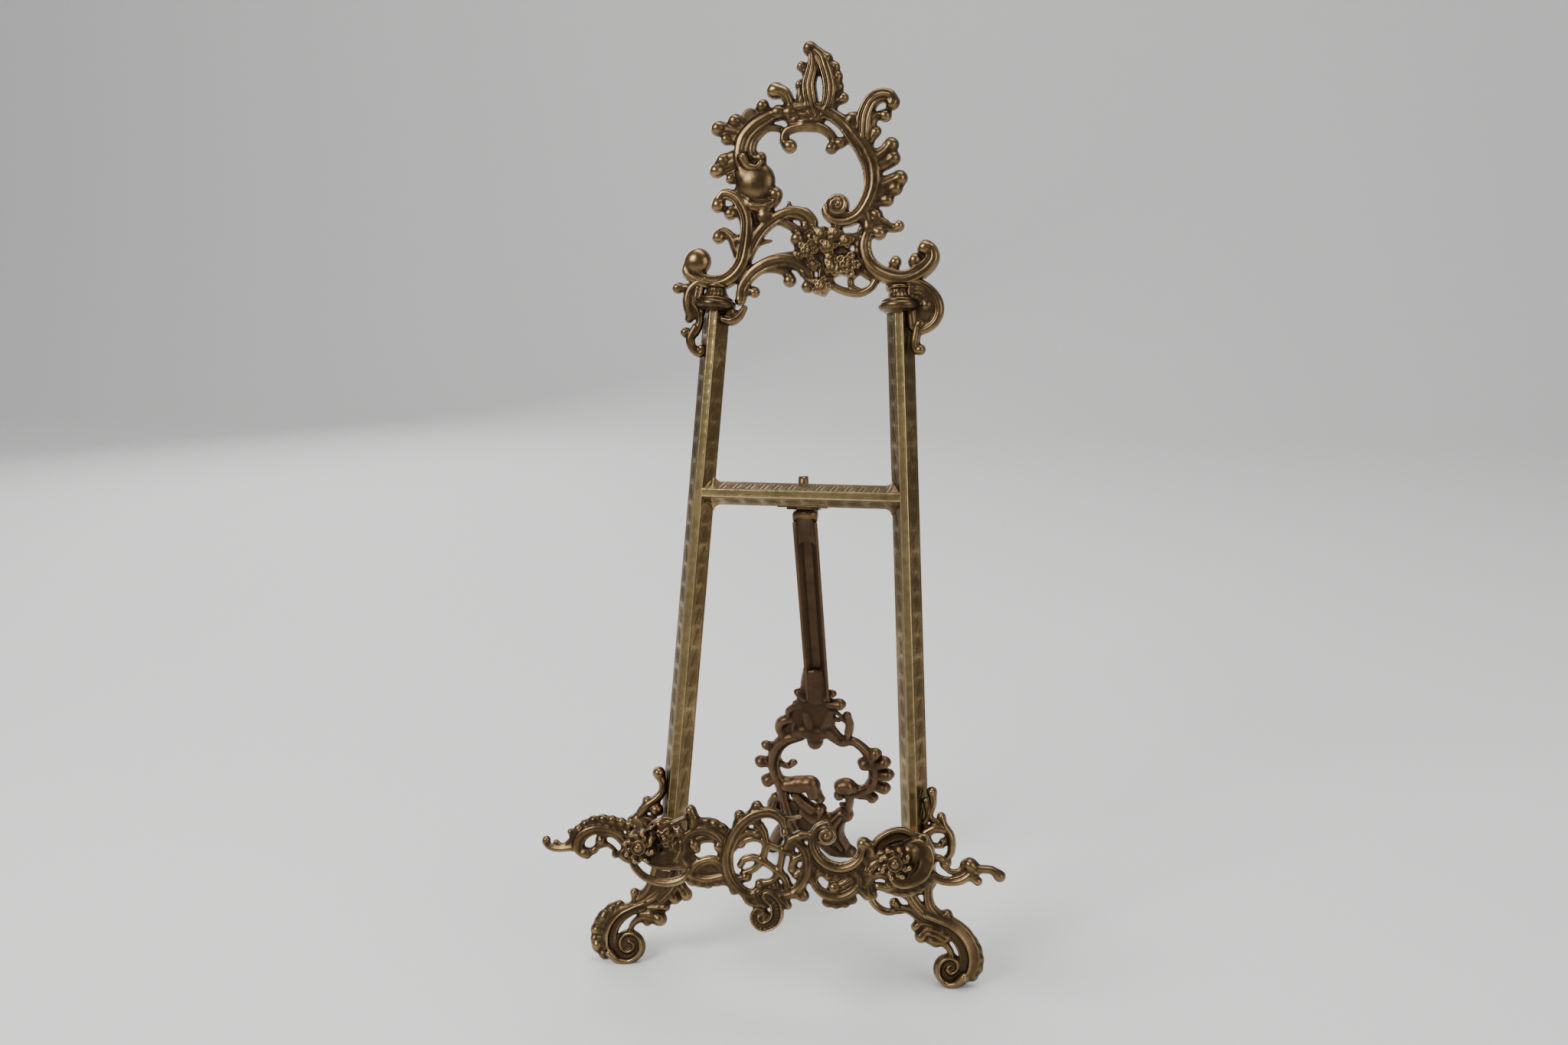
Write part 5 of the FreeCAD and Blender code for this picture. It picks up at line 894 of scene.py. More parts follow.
LEFT_FOOT = [
    # strands from the upright
    ("lined", (4.4, 4, 4, 4), [(-75.6, 56), (-78.8, 45.6), (-81.7, 38.9), (-87.2, 33.1)]),
    ("scroll", 4, [(-66.8, 55.7), (-70, 45.3), (-75, 37.3), (-84.1, 31.6)]),
    ("plume", (5.3, 7, 5.3), [(-62.3, 51.7), (-65.6, 43), (-72.3, 35)]),
    ("web", (10.6, 9.7, 8.8), [(-82.8, 33.4), (-78.5, 37.1), (-68.3, 47.1)], 0.5),
    # main scroll
    ("web", (13.2, 15.8, 8.8), [(-68.8, 63.3), (-69.9, 55.5), (-68.2, 44.5)], 0.7),
    ("cove", (5.3, 6.6, 7.5, 7.9, 7.9, 7.9, 7, 5.7), [(-81.9, 32.6), (-88.4, 29.6), (-94.5, 26.2),
        (-98.8, 21.7), (-101.3, 16.4), (-102.1, 10.7), (-101, 5.7), (-97.4, 1.7)]),
    ("round", (5.3, 4.4, 3.5, 3.1, 2.9, 2.6, 2.6, 2.4, 2.2, 2, 2), [(-101, 4), (-96.4, 0),
        (-90.7, -0.4), (-85.9, 2.5), (-83.4, 7.4), (-84.4, 12.4), (-88, 15.1), (-92.9, 14.4),
        (-95.4, 10.8), (-94.9, 6.6), (-91.3, 4.7), (-87.8, 6.7), (-87.9, 9.6),
        (-90.6, 10.7)], 1.5, 0.5),
    ("web", 15, [(-90.5, 8.5), (-89.6, 7.8)], 0.3),
    ("comb", (4.4, 5.3, 5.7, 5.7, 5.3, 4.4), [(-96.8, 29.9), (-103.4, 25.6), (-107.6, 19.8),
        (-109.2, 13.2), (-108.2, 6.9), (-104, 2.5)], 0.85),
    ("lined", (4.4, 3.5), [(-87.2, 32.7), (-88.2, 37.3)]),
    # inner leaf
    ("lined", (2.6, 3.1, 4, 5.3, 5.3), [(-90.7, 14.1), (-89, 19.8), (-85.2, 23.4), (-80.8, 25),
        (-76, 24)]),
    ("lined", (4.4, 5.7, 5.3), [(-83.5, 26.1), (-78.7, 26.8), (-73.8, 25.4)]),
    ("lined", (4, 4.4), [(-79.7, 30.2), (-71.3, 31.2)]),
    ("lined", (5.3, 5.7), [(-68.1, 41.1), (-65.4, 37.1)]),
    ("lined", (5.3, 5.7), [(-63, 44), (-58.9, 39.2)]),
    # leaf beside the upright's foot
    ("round", (4.8, 4.4, 4, 4.8, 5.7, 5.3, 4), [(-76.5, 105.5), (-73.8, 100.6), (-74.1, 95.4),
        (-77, 91.4), (-80.9, 88.2), (-84.7, 84.6), (-88.1, 79.6)]),
    ("lined", (4, 3.5), [(-80, 88.3), (-82.7, 90.2)]),
    ("lined", (5.3, 6.2, 5.7), [(-88.1, 79.6), (-84.1, 76.9), (-82.2, 72.7)]),
    ("lined", (3.5, 3.5, 3.1), [(-84.2, 80.3), (-79.3, 79.7), (-74.4, 76.6)]),
    ("round", 4.4, [(-80.8, 87.3), (-76.8, 84.6)]),
    ("lined", 3.5, [(-88, 74.9), (-91.1, 78.2)]),
    ("lined", 4, [(-88.3, 71.5), (-90.1, 74)]),
    ("web", (6.2, 7, 7), [(-82.6, 73.6), (-75.9, 68.4), (-70.5, 62.3)], 0.9),
]
LEFT_FOOT_KNOBS = [
    (2.6, -96.9, 30.7, 0.8), (2.6, -101.2, 28.3, 0.8), (2.6, -105.1, 24.6, 0.8),
    (2.7, -108.1, 20.6, 0.8), (2.7, -110, 15.7, 0.8), (2.7, -110.3, 10.6, 0.8),
    (2.6, -109, 5.6, 0.8), (2.5, -105.4, 2, 0.8), (3.5, -76.1, 106), (3.7, -76.8, 85.4),
    (1.8, -91.6, 78.6), (1.9, -82.7, 90.2), (3.5, -83.6, 74.8), (2.4, -88, 74.5),
    (2.5, -88.2, 38.1), (2.5, -100.8, 27.9), (2.7, -105.9, 22.8), (2.9, -109.3, 15.8),
    (3.3, -108.6, 7.3), (4.2, -73.3, 24.2), (2.2, -80.7, 21.6), (2.4, -70, 31.3),
    (3.5, -58.9, 38.7), (3.5, -65.4, 36.3), (3.1, -62.1, 43.2), (2.2, -74.4, 31),
]

RIGHT_FOOT = [
    # strands from the upright
    ("scroll", (5.7, 6.2, 6.2, 5.7), [(63, 59.8), (65.3, 49.9), (69.7, 42.3), (76.2, 36.2)]),
    ("scroll", (4.4, 4.8, 5.3, 5.3), [(78, 58.2), (76.2, 49), (77.7, 41.6), (82.8, 35.8)]),
    ("web", (11.4, 8.8), [(69.3, 72.7), (70.7, 51.9)], 0.7),
    ("web", (8.8, 9.7, 8.8), [(73.6, 38), (78.7, 35.9), (84.6, 33)], 0.8),
    # main scroll
    ("cove", (7.9, 8.8, 10.1, 11, 11, 10.6, 8.8, 6.2), [(75.3, 35.7), (82, 33.7), (88.7, 31.2),
        (94.7, 26.6), (98.6, 20.4), (100, 13.9), (98.5, 7.6), (94.6, 2.3)]),
    ("round", (6.2, 4.8, 4, 3.5, 3.1, 2.9, 2.6, 2.4, 2.2, 2), [(97, 5), (92.9, 1), (88, 0.2),
        (84.2, 3.2), (83.2, 8.1), (85.2, 12.4), (89.2, 14.3), (93, 12.5), (93.5, 8.4), (90.3, 5.8),
        (87.8, 7.7), (89, 9.7)], 1.5, 0.5),
    ("web", 15, [(88.6, 8), (89.4, 7.4)], 0.3),
    ("comb", (3.5, 4.4, 4.4), [(98, 26.5), (102.2, 21.9), (104, 16.2)], 0.85),
    ("comb", (4.4, 4.8, 4), [(104.5, 15), (104.2, 9.6), (101.1, 4.5)], 0.85),
    ("lined", (5.3, 4), [(85.4, 33.5), (86.9, 37.6)]),
    # inner leaf
    ("leaf", (4.8, 6.2, 5.7), [(72.8, 24.7), (76.4, 27.9), (81.4, 27.4), (86.4, 24.8)]),
    ("lined", (4, 4.4, 4.4), [(70.1, 29.5), (73.4, 32.2), (78, 31.7), (83.8, 29.2)]),
    ("lined", (4.4, 4, 3.5, 3.5), [(79.5, 22.7), (84.9, 21.9), (88.7, 18.8), (90.5, 14.4)]),
    # arc below the boss
    ("lined", (4, 4, 4, 3.5), [(44, 50.2), (45.4, 43.2), (49.8, 38.4), (55.3, 36.8),
        (61.1, 38.4)]),
    ("leaf", (4, 4.8, 4.4), [(59.8, 38.7), (66.1, 38.7), (72.9, 33.9)]),
    ("lined", (3.5, 4), [(61.5, 38.4), (58.1, 41.9)]),
    ("web", 5.3, [(60, 48.7), (65.9, 46.6)], 0.7),
    # leaf beside the upright's foot
    ("lined", (3.5, 4, 4.4, 4.4, 4, 3.1), [(82, 90.9), (84.3, 85.2), (87.3, 80.8), (88.3, 75.5),
        (87.6, 70.5), (84.4, 67)]),
    ("lined", (5.3, 5.3, 4.4), [(74, 81.3), (78.9, 84.1), (84.3, 83.6)]),
    ("lined", (3.5, 3.1, 3.1), [(74.9, 78.8), (77.9, 74.9), (82.9, 74.8)]),
    ("lined", (3.1, 2.6, 3.1, 3.5), [(73.5, 99.1), (74.5, 93.8), (76.7, 89.4), (81.4, 85.9)]),
    ("lined", (4, 3.5, 3.1, 2.6), [(76.7, 103.9), (77.7, 98.1), (76.2, 92.2), (73, 86.2)]),
]
RIGHT_FOOT_KNOBS = [
    (2.2, 79.9, 22.7, 0.9), (2.2, 97.9, 27.3, 0.8), (2.4, 101.3, 23.8, 0.8),
    (2.5, 103.9, 19.5, 0.8), (2.5, 104.9, 14.6, 0.8), (2.4, 104.6, 9.6, 0.8), (2.2, 102.3, 5, 0.8),
    (2.1, 78.5, 54.1), (2.6, 86.9, 37.6), (2.5, 70.5, 29.9), (3.3, 73.2, 24.3), (2, 77.8, 23.4),
    (1.9, 81.6, 21.2), (2.6, 58.1, 41.9), (2.1, 83.7, 77.3), (2.4, 76.7, 103.9), (1.8, 82.5, 90.5),
    (1.6, 79.3, 84.1), (2.2, 86.5, 65.4), (1.9, 73.3, 33.9),
]

LEFT_LEAF = [
    ("lined", (5, 5.5, 5.5, 5), [(-58, 381), (-62, 379.5), (-65.5, 376), (-67, 371), (-66.5, 366),
        (-65, 361.5)]),
    ("lined", (4.5, 4, 3.6), [(-64, 377), (-68.5, 377.5), (-72, 377)]),
    ("lined", (4, 4.5, 4), [(-65, 371), (-63, 366.7), (-61, 364), (-59.8, 360), (-60.3, 356),
        (-62, 352.5)]),
    ("round", 3.6, [(-63, 352), (-67.5, 352.4)]),
    ("lined", (5, 5, 4.5, 4), [(-62, 355), (-64.8, 349.5), (-64.2, 345), (-62, 342),
        (-59.3, 340.7), (-57.3, 342)]),
    ("leaf", (5, 6, 5), [(-60, 378), (-61, 371), (-59.5, 364)]),
    ("lined", (5, 6, 5, 3.5), [(-46.5, 360), (-42, 359.3), (-38, 361.5), (-34.8, 366)]),
]
LEFT_LEAF_KNOBS = [
    (3.3, -42.6, 364), (3.1, -73, 377), (1.9, -66.3, 359.5), (2.5, -68.2, 352.5),
    (2.4, -58.3, 343.8),
]

RIGHT_LEAF = [
    ("lined", (4, 5, 5.5, 5.5, 5, 4.5, 4), [(55, 381), (62, 380.3), (68, 376.4), (72, 371),
        (73, 365), (71, 359.6), (67, 356), (63, 354.8), (60.3, 357.4)]),
    ("leaf", (5, 6, 4), [(58, 376), (64, 375.5), (68, 371)]),
    ("lined", (4, 4, 3.4), [(58, 371), (62, 372), (66, 370)]),
    ("lined", (5, 5, 4), [(61.5, 356), (60.5, 349), (61, 344.4), (63.3, 344)]),
    ("round", 5, [(57, 378), (57.5, 368), (59, 357)]),
    ("web", (9, 12, 9), [(60, 376), (64, 368), (63, 360)], 0.9),
]
RIGHT_LEAF_KNOBS = [(2.6, 62.8, 358.3), (2.9, 66, 368.6), (2.6, 63.6, 344.6)]

REAR_FOOT = [
    # neck and shoulders
    ("web", (14.7, 18.1, 22.7, 27.2), [(-1.9, 142.4), (-2.5, 132.9), (-3.4, 123.3),
        (-4.5, 112.1)], 1),
    ("web", (27.2, 17, 12.5), [(-4.5, 112.1), (-12.5, 103.9), (-20.6, 97.1)], 1),
    ("web", (11.3, 10.2, 5.7), [(0, 111), (5, 103), (12.3, 95.7)], 0.9),
    ("round", (13.6, 15.9, 12.5), [(-1.5, 149.2), (-2.3, 137), (-2.3, 128.1)], 0.6),
    ("round", (6.8, 7.9), [(-8.4, 116.1), (-6.5, 102.9)], 0.8),
    ("round", (5.7, 6.8, 6.8), [(6.9, 118.4), (4.3, 109.9), (-0.5, 102.6)], 0.8),
    ("round", (6.8, 10.2, 12.5, 9.1, 5.7), [(-16.1, 99.5), (-10.4, 102), (-3.9, 100.3),
        (2.7, 101.4), (8, 98.2)], 0.9),
    # bumps and rings down the left
    ("lined", (5.7, 5), [(-8.8, 127.8), (-12.2, 131.2)]),
    ("round", (3.4, 3.2), [(-11.3, 122.1), (-14.9, 123.1)]),
    ("round", (3.9, 4.1, 4.1, 3.9, 3.9), [(-11.4, 121.1), (-15.8, 120), (-19.3, 116.5),
        (-19.4, 111.9), (-16, 109.3)]),
    ("round", (5.7, 6.1, 5.9, 5.7), [(-18.6, 110.6), (-23.7, 108.8), (-26, 103.1), (-24.1, 97.5)]),
    ("round", 4.5, [(-16.6, 108.6), (-17, 102.2)]),
    # bumps and spike down the right
    ("lined", (5.2, 4.5), [(4.2, 128.5), (8.3, 131.6)]),
    ("lined", (5.7, 6.8), [(6.1, 123.9), (12.4, 123.7)]),
    ("round", (2.9, 2.7, 2.7), [(8.1, 119.2), (11.7, 115.6), (14.7, 110.6)]),
    ("lined", (3.9, 5.7, 5.7, 3.4), [(16.8, 116), (17.7, 108), (16.7, 100.9), (15.5, 94.9)]),
    ("round", (3.4, 2.9), [(6.6, 112.8), (11.4, 111.1)]),
    # left scroll
    ("scroll", (6.8, 8.2, 8.8, 8.2, 7.5, 7.9, 7.3), [(-12.8, 98.3), (-22.5, 94.4), (-28.6, 86.6),
        (-31.5, 76.3), (-30.9, 66.1), (-28.3, 57.5), (-27.7, 47.2)]),
    ("lined", 5.7, [(-29.3, 85.1), (-34.6, 88.3)]),
    ("lined", (6.4, 7), [(-32.2, 74.8), (-39.2, 75)]),
    ("lined", (6.8, 7.9), [(-30.7, 64.7), (-36.1, 59.6)]),
    ("round", (3.4, 3.9, 4.1, 3.9), [(-29.1, 80.1), (-26.5, 74), (-22.1, 72.6), (-19.1, 75.1)]),
    # right scroll
    ("scroll", (5.2, 5.4, 5.7, 6.4, 7, 7.5, 7.5, 6.8, 5.9), [(5.8, 98), (12.2, 93.8), (19.3, 95.2),
        (26.2, 88.8), (30.3, 79.1), (31.3, 69.1), (28.4, 59.9), (21.8, 54.6), (14.1, 52.9)]),
    ("lined", (6.8, 7), [(29.4, 81.9), (32.6, 86.1)]),
    ("lined", (6.8, 7.5), [(31.1, 76.3), (37.6, 79.4)]),
    ("lined", (6.8, 7.5), [(31.3, 69.1), (39.4, 69.7)]),
    ("lined", (6.8, 7.5), [(28.7, 60.9), (36.8, 58.7)]),
    ("lined", (6.1, 6.8), [(23.5, 54.2), (29.2, 50.2)]),
    ("lined", (7.9, 8.4), [(29.8, 77.4), (25.7, 77.9)]),
    ("round", (10.2, 10.9, 6.8), [(10.3, 58.1), (13.7, 58.7), (18.1, 57.2)]),
    ("lined", (5.7, 5.7, 5.2), [(14.6, 53), (14.7, 45.9), (13.4, 38)]),
    ("round", (2.9, 2.5), [(12.8, 39.8), (9.8, 42.5)]),
    ("comb", (3.4, 3.9), [(18.9, 49.5), (25.5, 49.1)], 0.8),
    # leaves low on the left
    ("round", (9.1, 11.3, 11.3, 9.1), [(-24.5, 57.8), (-16.6, 57.6), (-9.2, 58.1), (-7.9, 51.6)]),
    ("leaf", (7.9, 9.1, 6.8), [(-18.7, 59.7), (-12, 58.7), (-4.8, 47.4)]),
    ("plume", (7.5, 7.9, 5.7), [(-34.6, 33.1), (-34.6, 39.9), (-32.5, 46)]),
    ("plume", (6.8, 7.9, 9.1, 10.2), [(-27.6, 51.6), (-26.7, 41.2), (-24.9, 30.8), (-22.3, 21.9)]),
    ("lined", (6.8, 7.5, 7.9), [(-19.4, 49.3), (-14.7, 42.9), (-9.9, 38)]),
    ("round", (6.8, 8.6), [(-15.7, 36.1), (-9.2, 30.5)]),
    ("lined", (6.8, 7.3), [(-5.7, 32.3), (-4.2, 38.2)]),
    ("web", (13.6, 15.9, 13.6), [(-22.5, 37.1), (-16.2, 28.5), (-7.3, 24.6)], 1),
    ("round", (5.7, 4.5, 3.9), [(-9, 33.6), (-1.1, 32.7), (6.8, 32.7)]),
    # right leg with folds
    ("plume", (10.2, 13.6, 13.6, 11.3), [(9.2, 34.7), (4.1, 25.5), (3.7, 16.3), (7.8, 7.5)]),
    ("plume", (7.9, 10.2, 11.3), [(-1.3, 29.7), (0.5, 20.7), (3.4, 11.7)]),
    ("lined", (11.3, 12.5, 11.3, 10.4), [(-4.6, 12.6), (0.9, 6.9), (7.5, 2), (12.1, 1.6)]),
    ("web", (12.5, 13.6), [(-7.3, 24.6), (-1.1, 12.9)], 1),
    # left leg
    ("scroll", (7.9, 9.1, 9.1, 9.1, 10.2), [(-23.1, 27.9), (-30.1, 18.2), (-34.8, 8.6),
        (-36.6, -0.9), (-36, -7.9)]),
    ("lined", (7.9, 7.9, 6.8), [(-26.8, 23.1), (-18.1, 16.1), (-8, 12.3)]),
]
REAR_FOOT_KNOBS = [
    (2.5, -12.2, 131), (2.3, 8.3, 131.5), (3.6, 12.5, 123.7), (1.8, 16.5, 115.7),
    (2.9, -35.5, 88.7), (3.9, -39.6, 75.1), (4.3, -36.3, 59.9), (2.5, -19.2, 75.4),
    (5.2, -4.3, 93.6), (2.3, -3.7, 103.1), (3.6, 32.7, 86.4), (4, 37.8, 79.7), (4, 39.6, 69.7),
    (4, 37, 58.6), (3.6, 29.2, 50.1), (4.3, 25.7, 77.9), (5.4, 13.5, 58.3), (3.6, 8.3, 50.6),
    (1.7, 9.8, 42.5), (5.7, -9.5, 58.9), (4.5, -7.5, 51.3), (2.9, -3.8, 46), (3.6, -14.9, 42.7),
    (4.1, -9.2, 30.8), (3.6, -4.2, 38.2), (2.7, -31.4, 46.1), (4.5, 12.5, 34.4), (5.3, 12.3, 2),
    (6.6, -35.9, -7.2),
]


# ------------------------------------------------------------ finishes

class Nodes:
    """Small helper for building a shader tree."""

    def __init__(self, name):
        self.material = bpy.data.materials.new(name)
        self.material.use_nodes = True
        self.tree = self.material.node_tree
        self.shader = self.tree.nodes["Principled BSDF"]

    def add(self, kind, **settings):
        node = self.tree.nodes.new(kind)
        inputs = settings.pop("inputs", {})
        for key, value in settings.items():
            setattr(node, key, value)
        for key, value in inputs.items():
            self.put(node.inputs[key], value)
        return node

    def put(self, socket, value):
        if isinstance(value, bpy.types.NodeSocket):
            self.tree.links.new(value, socket)
        else:
            socket.default_value = value

    def math(self, operation, *values, clamp=False):
        node = self.add("ShaderNodeMath", operation=operation, use_clamp=clamp)
        for k, value in enumerate(values):
            self.put(node.inputs[k], value)
        return node.outputs[0]

    def swing(self, value, gain):
        """What a value has over one half, times gain."""
        return self.math("MULTIPLY_ADD", self.math("SUBTRACT", value, 0.5), gain, 0.0)

    def noise(self, scale, detail, vector):
        node = self.add("ShaderNodeTexNoise", inputs={
            "Scale": scale, "Detail": detail, "Roughness": 0.6, "Vector": vector})
        return node.outputs["Fac"]

    def ramp(self, value, stops):
        """Colour ramp; a stop is a position and a colour or a grey."""
        node = self.add("ShaderNodeValToRGB", inputs={"Fac": value})
        elements = node.color_ramp.elements
        while len(elements) < len(stops):
            elements.new(0.5)
        for element, (place, colour) in zip(elements, stops):
            element.position = place
            element.color = (*np.broadcast_to(colour, 3), 1)
        return node.outputs["Color"]


BLOTCH, FLECK, GRAIN = 38, 260, 1500        # noise scales, from stains to casting sand
STAIN, SPECKLE, EDGE_WEAR_SHEEN_AND_SHADE = 0.75, 0.35, 2.6     # how much each moves the tone; the edge term is rubbed wear plus painted highlight on edges and painted shade in creases
SHADE_REACH = 0.006                         # how far the painted shade in hollows reaches, in metres
FLECK_DEPTH, GRAIN_DEPTH = 0.0005, 0.00012  # bump distances, in metres


def brass(name, bright, mid, dark, rough, raised=0.42, edge_wear_sheen_and_shade=0.7, hollow=0.22):
    """Cast brass with stains and specks, lighter on raised parts and darker in low ones.

    Its colour also holds painted light: painted shade in hollows from an ambient occlusion node,
    over the patina there, and painted highlight on sharp edges with painted shade in creases, over
    the rubbing of the edges. The last three arguments say how much the relief, sharp edges and
    open places brighten it.
    """
    n = Nodes(name)
    where = n.add("ShaderNodeTexCoord").outputs["Object"]
    relief = n.add("ShaderNodeAttribute", attribute_name="relief").outputs["Fac"]
    shade = n.add("ShaderNodeAmbientOcclusion", samples=8,
                  inputs={"Distance": SHADE_REACH}).outputs["AO"]
    point = n.add("ShaderNodeNewGeometry").outputs["Pointiness"]
    blotch = n.noise(BLOTCH, 5, where)
    fleck = n.noise(FLECK, 4, where)
    grain = n.noise(GRAIN, 3, where)
    height = n.math("MULTIPLY_ADD", relief, raised, 0.42)
    # painted shade: the ambient occlusion darkens hollows in the colour, over their patina
    open_part = n.math("MULTIPLY_ADD", shade, hollow, 0.08 - hollow)
    # painted highlight on sharp edges and painted shade in creases, from pointiness, with rubbed
    # wear; then specks
    spots = n.math("ADD", n.swing(point, EDGE_WEAR_SHEEN_AND_SHADE * edge_wear_sheen_and_shade), n.swing(fleck, SPECKLE))
    tone = n.math("ADD", n.math("ADD", height, open_part),
                  n.math("ADD", n.swing(blotch, STAIN), spots), clamp=True)
    n.put(n.shader.inputs["Base Color"],
          n.ramp(tone, [(0.12, dark), (0.5, mid), (0.92, bright)]))
    spread = n.ramp(tone, [(0.1, rough + 0.3), (0.45, rough + 0.1), (0.85, rough)])
    n.put(n.shader.inputs["Roughness"],
          n.math("MULTIPLY_ADD", fleck, 0.16, n.math("SUBTRACT", spread, 0.08)))
    n.put(n.shader.inputs["Metallic"], n.ramp(tone, [(0.08, 0.72), (0.4, 0.96)]))
    coarse = n.add("ShaderNodeBump", inputs={
        "Strength": 0.16, "Distance": FLECK_DEPTH, "Height": fleck})
    fine = n.add("ShaderNodeBump", inputs={
        "Strength": 0.2, "Distance": GRAIN_DEPTH, "Height": grain,
        "Normal": coarse.outputs["Normal"]})
    n.put(n.shader.inputs["Normal"], fine.outputs["Normal"])
    return n.material


# bright, middle and dark colour, then the roughness where it is rubbed bright
AGED = brass("aged_brass", (0.27, 0.175, 0.078), (0.070, 0.044, 0.022),
             (0.030, 0.019, 0.011), 0.24)
FEET = brass("aged_brass_feet", (0.28, 0.182, 0.082), (0.092, 0.058, 0.029),
             (0.046, 0.029, 0.016), 0.26)
# lighter copy for the bars: its bright colour is partly rubbed brass, partly painted highlight
# along the arrises
BAR = brass("aged_brass_bar", (0.55, 0.40, 0.18), (0.170, 0.114, 0.050),
            (0.05, 0.031, 0.014), 0.2, edge_wear_sheen_and_shade=0.8, hollow=0.2)
# darker, duller copy for the rear foot and the hinge bracket: partly tarnished brass, partly
# painted shade for the rear foot, which stands in shade
DULL_AND_SHADED = brass("dull_brass", (0.17, 0.102, 0.052), (0.080, 0.047, 0.026),
             (0.026, 0.015, 0.009), 0.35, hollow=0.3)
LEG = brass("dull_brass_leg", (0.18, 0.11, 0.055), (0.100, 0.061, 0.033),
            (0.036, 0.022, 0.013), 0.33, hollow=0.15)
SCREW = brass("screw_brass", (0.38, 0.25, 0.10), (0.17, 0.105, 0.045),
              (0.04, 0.025, 0.012), 0.28, raised=0.0, edge_wear_sheen_and_shade=1.4)


def place_piece(piece, body, slot, finish, *nodes):
    piece.data.materials.append(finish)
    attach(piece, body)
    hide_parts(*nodes)


# ------------------------------------------------------------ uprights, crossbar and capitals

# mouldings: width, flat face, depth, wall
UPRIGHT_SIZES = (15.0, 3.8, 9.0, 1.8)
CROSSBAR_SIZES = (13.0, 3.8, 9.0, 1.8)
CROSSBAR_RISE, CROSSBAR_HALF = 263.5, 55.3
CORNER_START, CORNER, CORNER_WIDTH = 45.6, 4.2, 3.4

for side, name in SIDES:
    bar = moulding(name + "_upright_bar", UPRIGHT_TOP - UPRIGHT_BASE, UPRIGHT_SIZES,
                   upright_place(side), ("leaves", "leaves"))
    place_piece(bar, "frame", "aged_brass", BAR, name + "_upright")


def bar_corners(along):
    """The crossbar widens into a fillet where it meets the uprights."""
    t = np.clip((np.abs(along - CROSSBAR_HALF) - CORNER_START) / CORNER, 0, 1)
    return CORNER_WIDTH * (1 - np.sqrt(1 - t * t))


crossbar = moulding("crossbar_bar", 2 * CROSSBAR_HALF, CROSSBAR_SIZES,
                    lambda u, v, w: frame_point(w - CROSSBAR_HALF, v, CROSSBAR_RISE - u),
                    ("strokes", "leaves"), bar_corners)
place_piece(crossbar, "frame", "aged_brass", BAR, "crossbar")

CAPITAL = ([(0.2, 365.0), (8.2, 365.0), (8.8, 365.6)] + arc((9.0, 368.4), 2.5, -82, 78, 14)
           + [(9.0, 370.9), (9.6, 371.3), (9.5, 371.9), (8.6, 372.4), (7.2, 373.3),
              (6.2, 374.5), (5.6, 375.8), (5.3, 377.0), (5.3, 377.8)]
           + arc((5.4, 378.8), 1.2, -75, 85, 8) + [(4.6, 380.2), (0.2, 380.3)])
CAPITAL_TURNS = 96
NECK_RISE, NECK_SPREAD, NECK_LEAVES, NECK_CARVING = 375.2, 1.9, 8, 0.45


def capital_leaves(angle, profile):
    """Upright leaf ribs carved round the concave neck."""
    neck = line_at(profile[:, 1:], NECK_RISE, NECK_SPREAD)
    return NECK_CARVING * neck * (np.abs(np.cos(NECK_LEAVES * angle)) ** 0.6 - 0.6)


for side, name in SIDES:
    cap = lathe(name + "_capital_turned", CAPITAL, capital_place(side), CAPITAL_TURNS,
                capital_leaves)
    place_piece(cap, "frame", "aged_brass", AGED, name + "_capital")


# ------------------------------------------------------------ castings

CREST_OUT, RAIL_OUT, FOOT_OUT, LEAF_OUT, REAR_FOOT_OUT = 3.6, 75.6, 4.5, 5.0, 0.5


def frame_casting(name, nodes, low, high, step, tables, middle, fullness, tall=1.0,
                  finish=AGED, **back):
    """Casting of the back frame, drawn from low to high about its middle plane."""
    relief = Relief(low, high, step, fullness, tall).stamp(*tables)
    piece = cast(name, relief, frame_point, middle, **back)
    place_piece(piece, "frame", "aged_brass", finish, *nodes)


frame_casting("crest_scrollwork", ["crest", "crest_base"], (-80, 360), (80, 520), 0.5,
              (CREST, CREST_KNOBS, CREST_ROSES, CREST_VOLUTES), CREST_OUT, 1.18,
              back_share=0.5, back_most=3.4)
frame_casting("rail_scrollwork", ["front_rail"], (-124, 34), (124, 116), 0.45,
              (RAIL, RAIL_KNOBS, RAIL_ROSES, RAIL_VOLUTES), RAIL_OUT, 1.2, tall=1.1,
              back_share=0.5, back_most=3.2)
for name, low, high, tables in (
        ("left", (-118, -4), (-48, 112), (LEFT_FOOT, LEFT_FOOT_KNOBS)),
        ("right", (38, -4), (110, 112), (RIGHT_FOOT, RIGHT_FOOT_KNOBS))):
    frame_casting(name + "_foot_scroll", [name + "_foot"], low, high, 0.45, tables, FOOT_OUT,
                  1.12, tall=1.25, finish=FEET, back_share=0.9, back_most=5.5)
for name, low, high, tables in (
        ("left", (-80, 336), (-28, 386), (LEFT_LEAF, LEFT_LEAF_KNOBS)),
        ("right", (50, 336), (80, 386), (RIGHT_LEAF, RIGHT_LEAF_KNOBS))):
    frame_casting(name + "_side_spray", [name + "_side_leaf"], low, high, 0.35, tables,
                  LEAF_OUT, 1.1)

rear = Relief((-50, -3), (48, 150), 0.45, tall=1.3).stamp(REAR_FOOT, REAR_FOOT_KNOBS)
rear = cast("rear_foot_scroll", rear, leg_point, REAR_FOOT_OUT, back_share=0.7, back_most=4.5)
place_piece(rear, "leg", "dull_brass", DULL_AND_SHADED, "rear_foot")

# ------------------------------------------------------------ shelf arms and rosettes

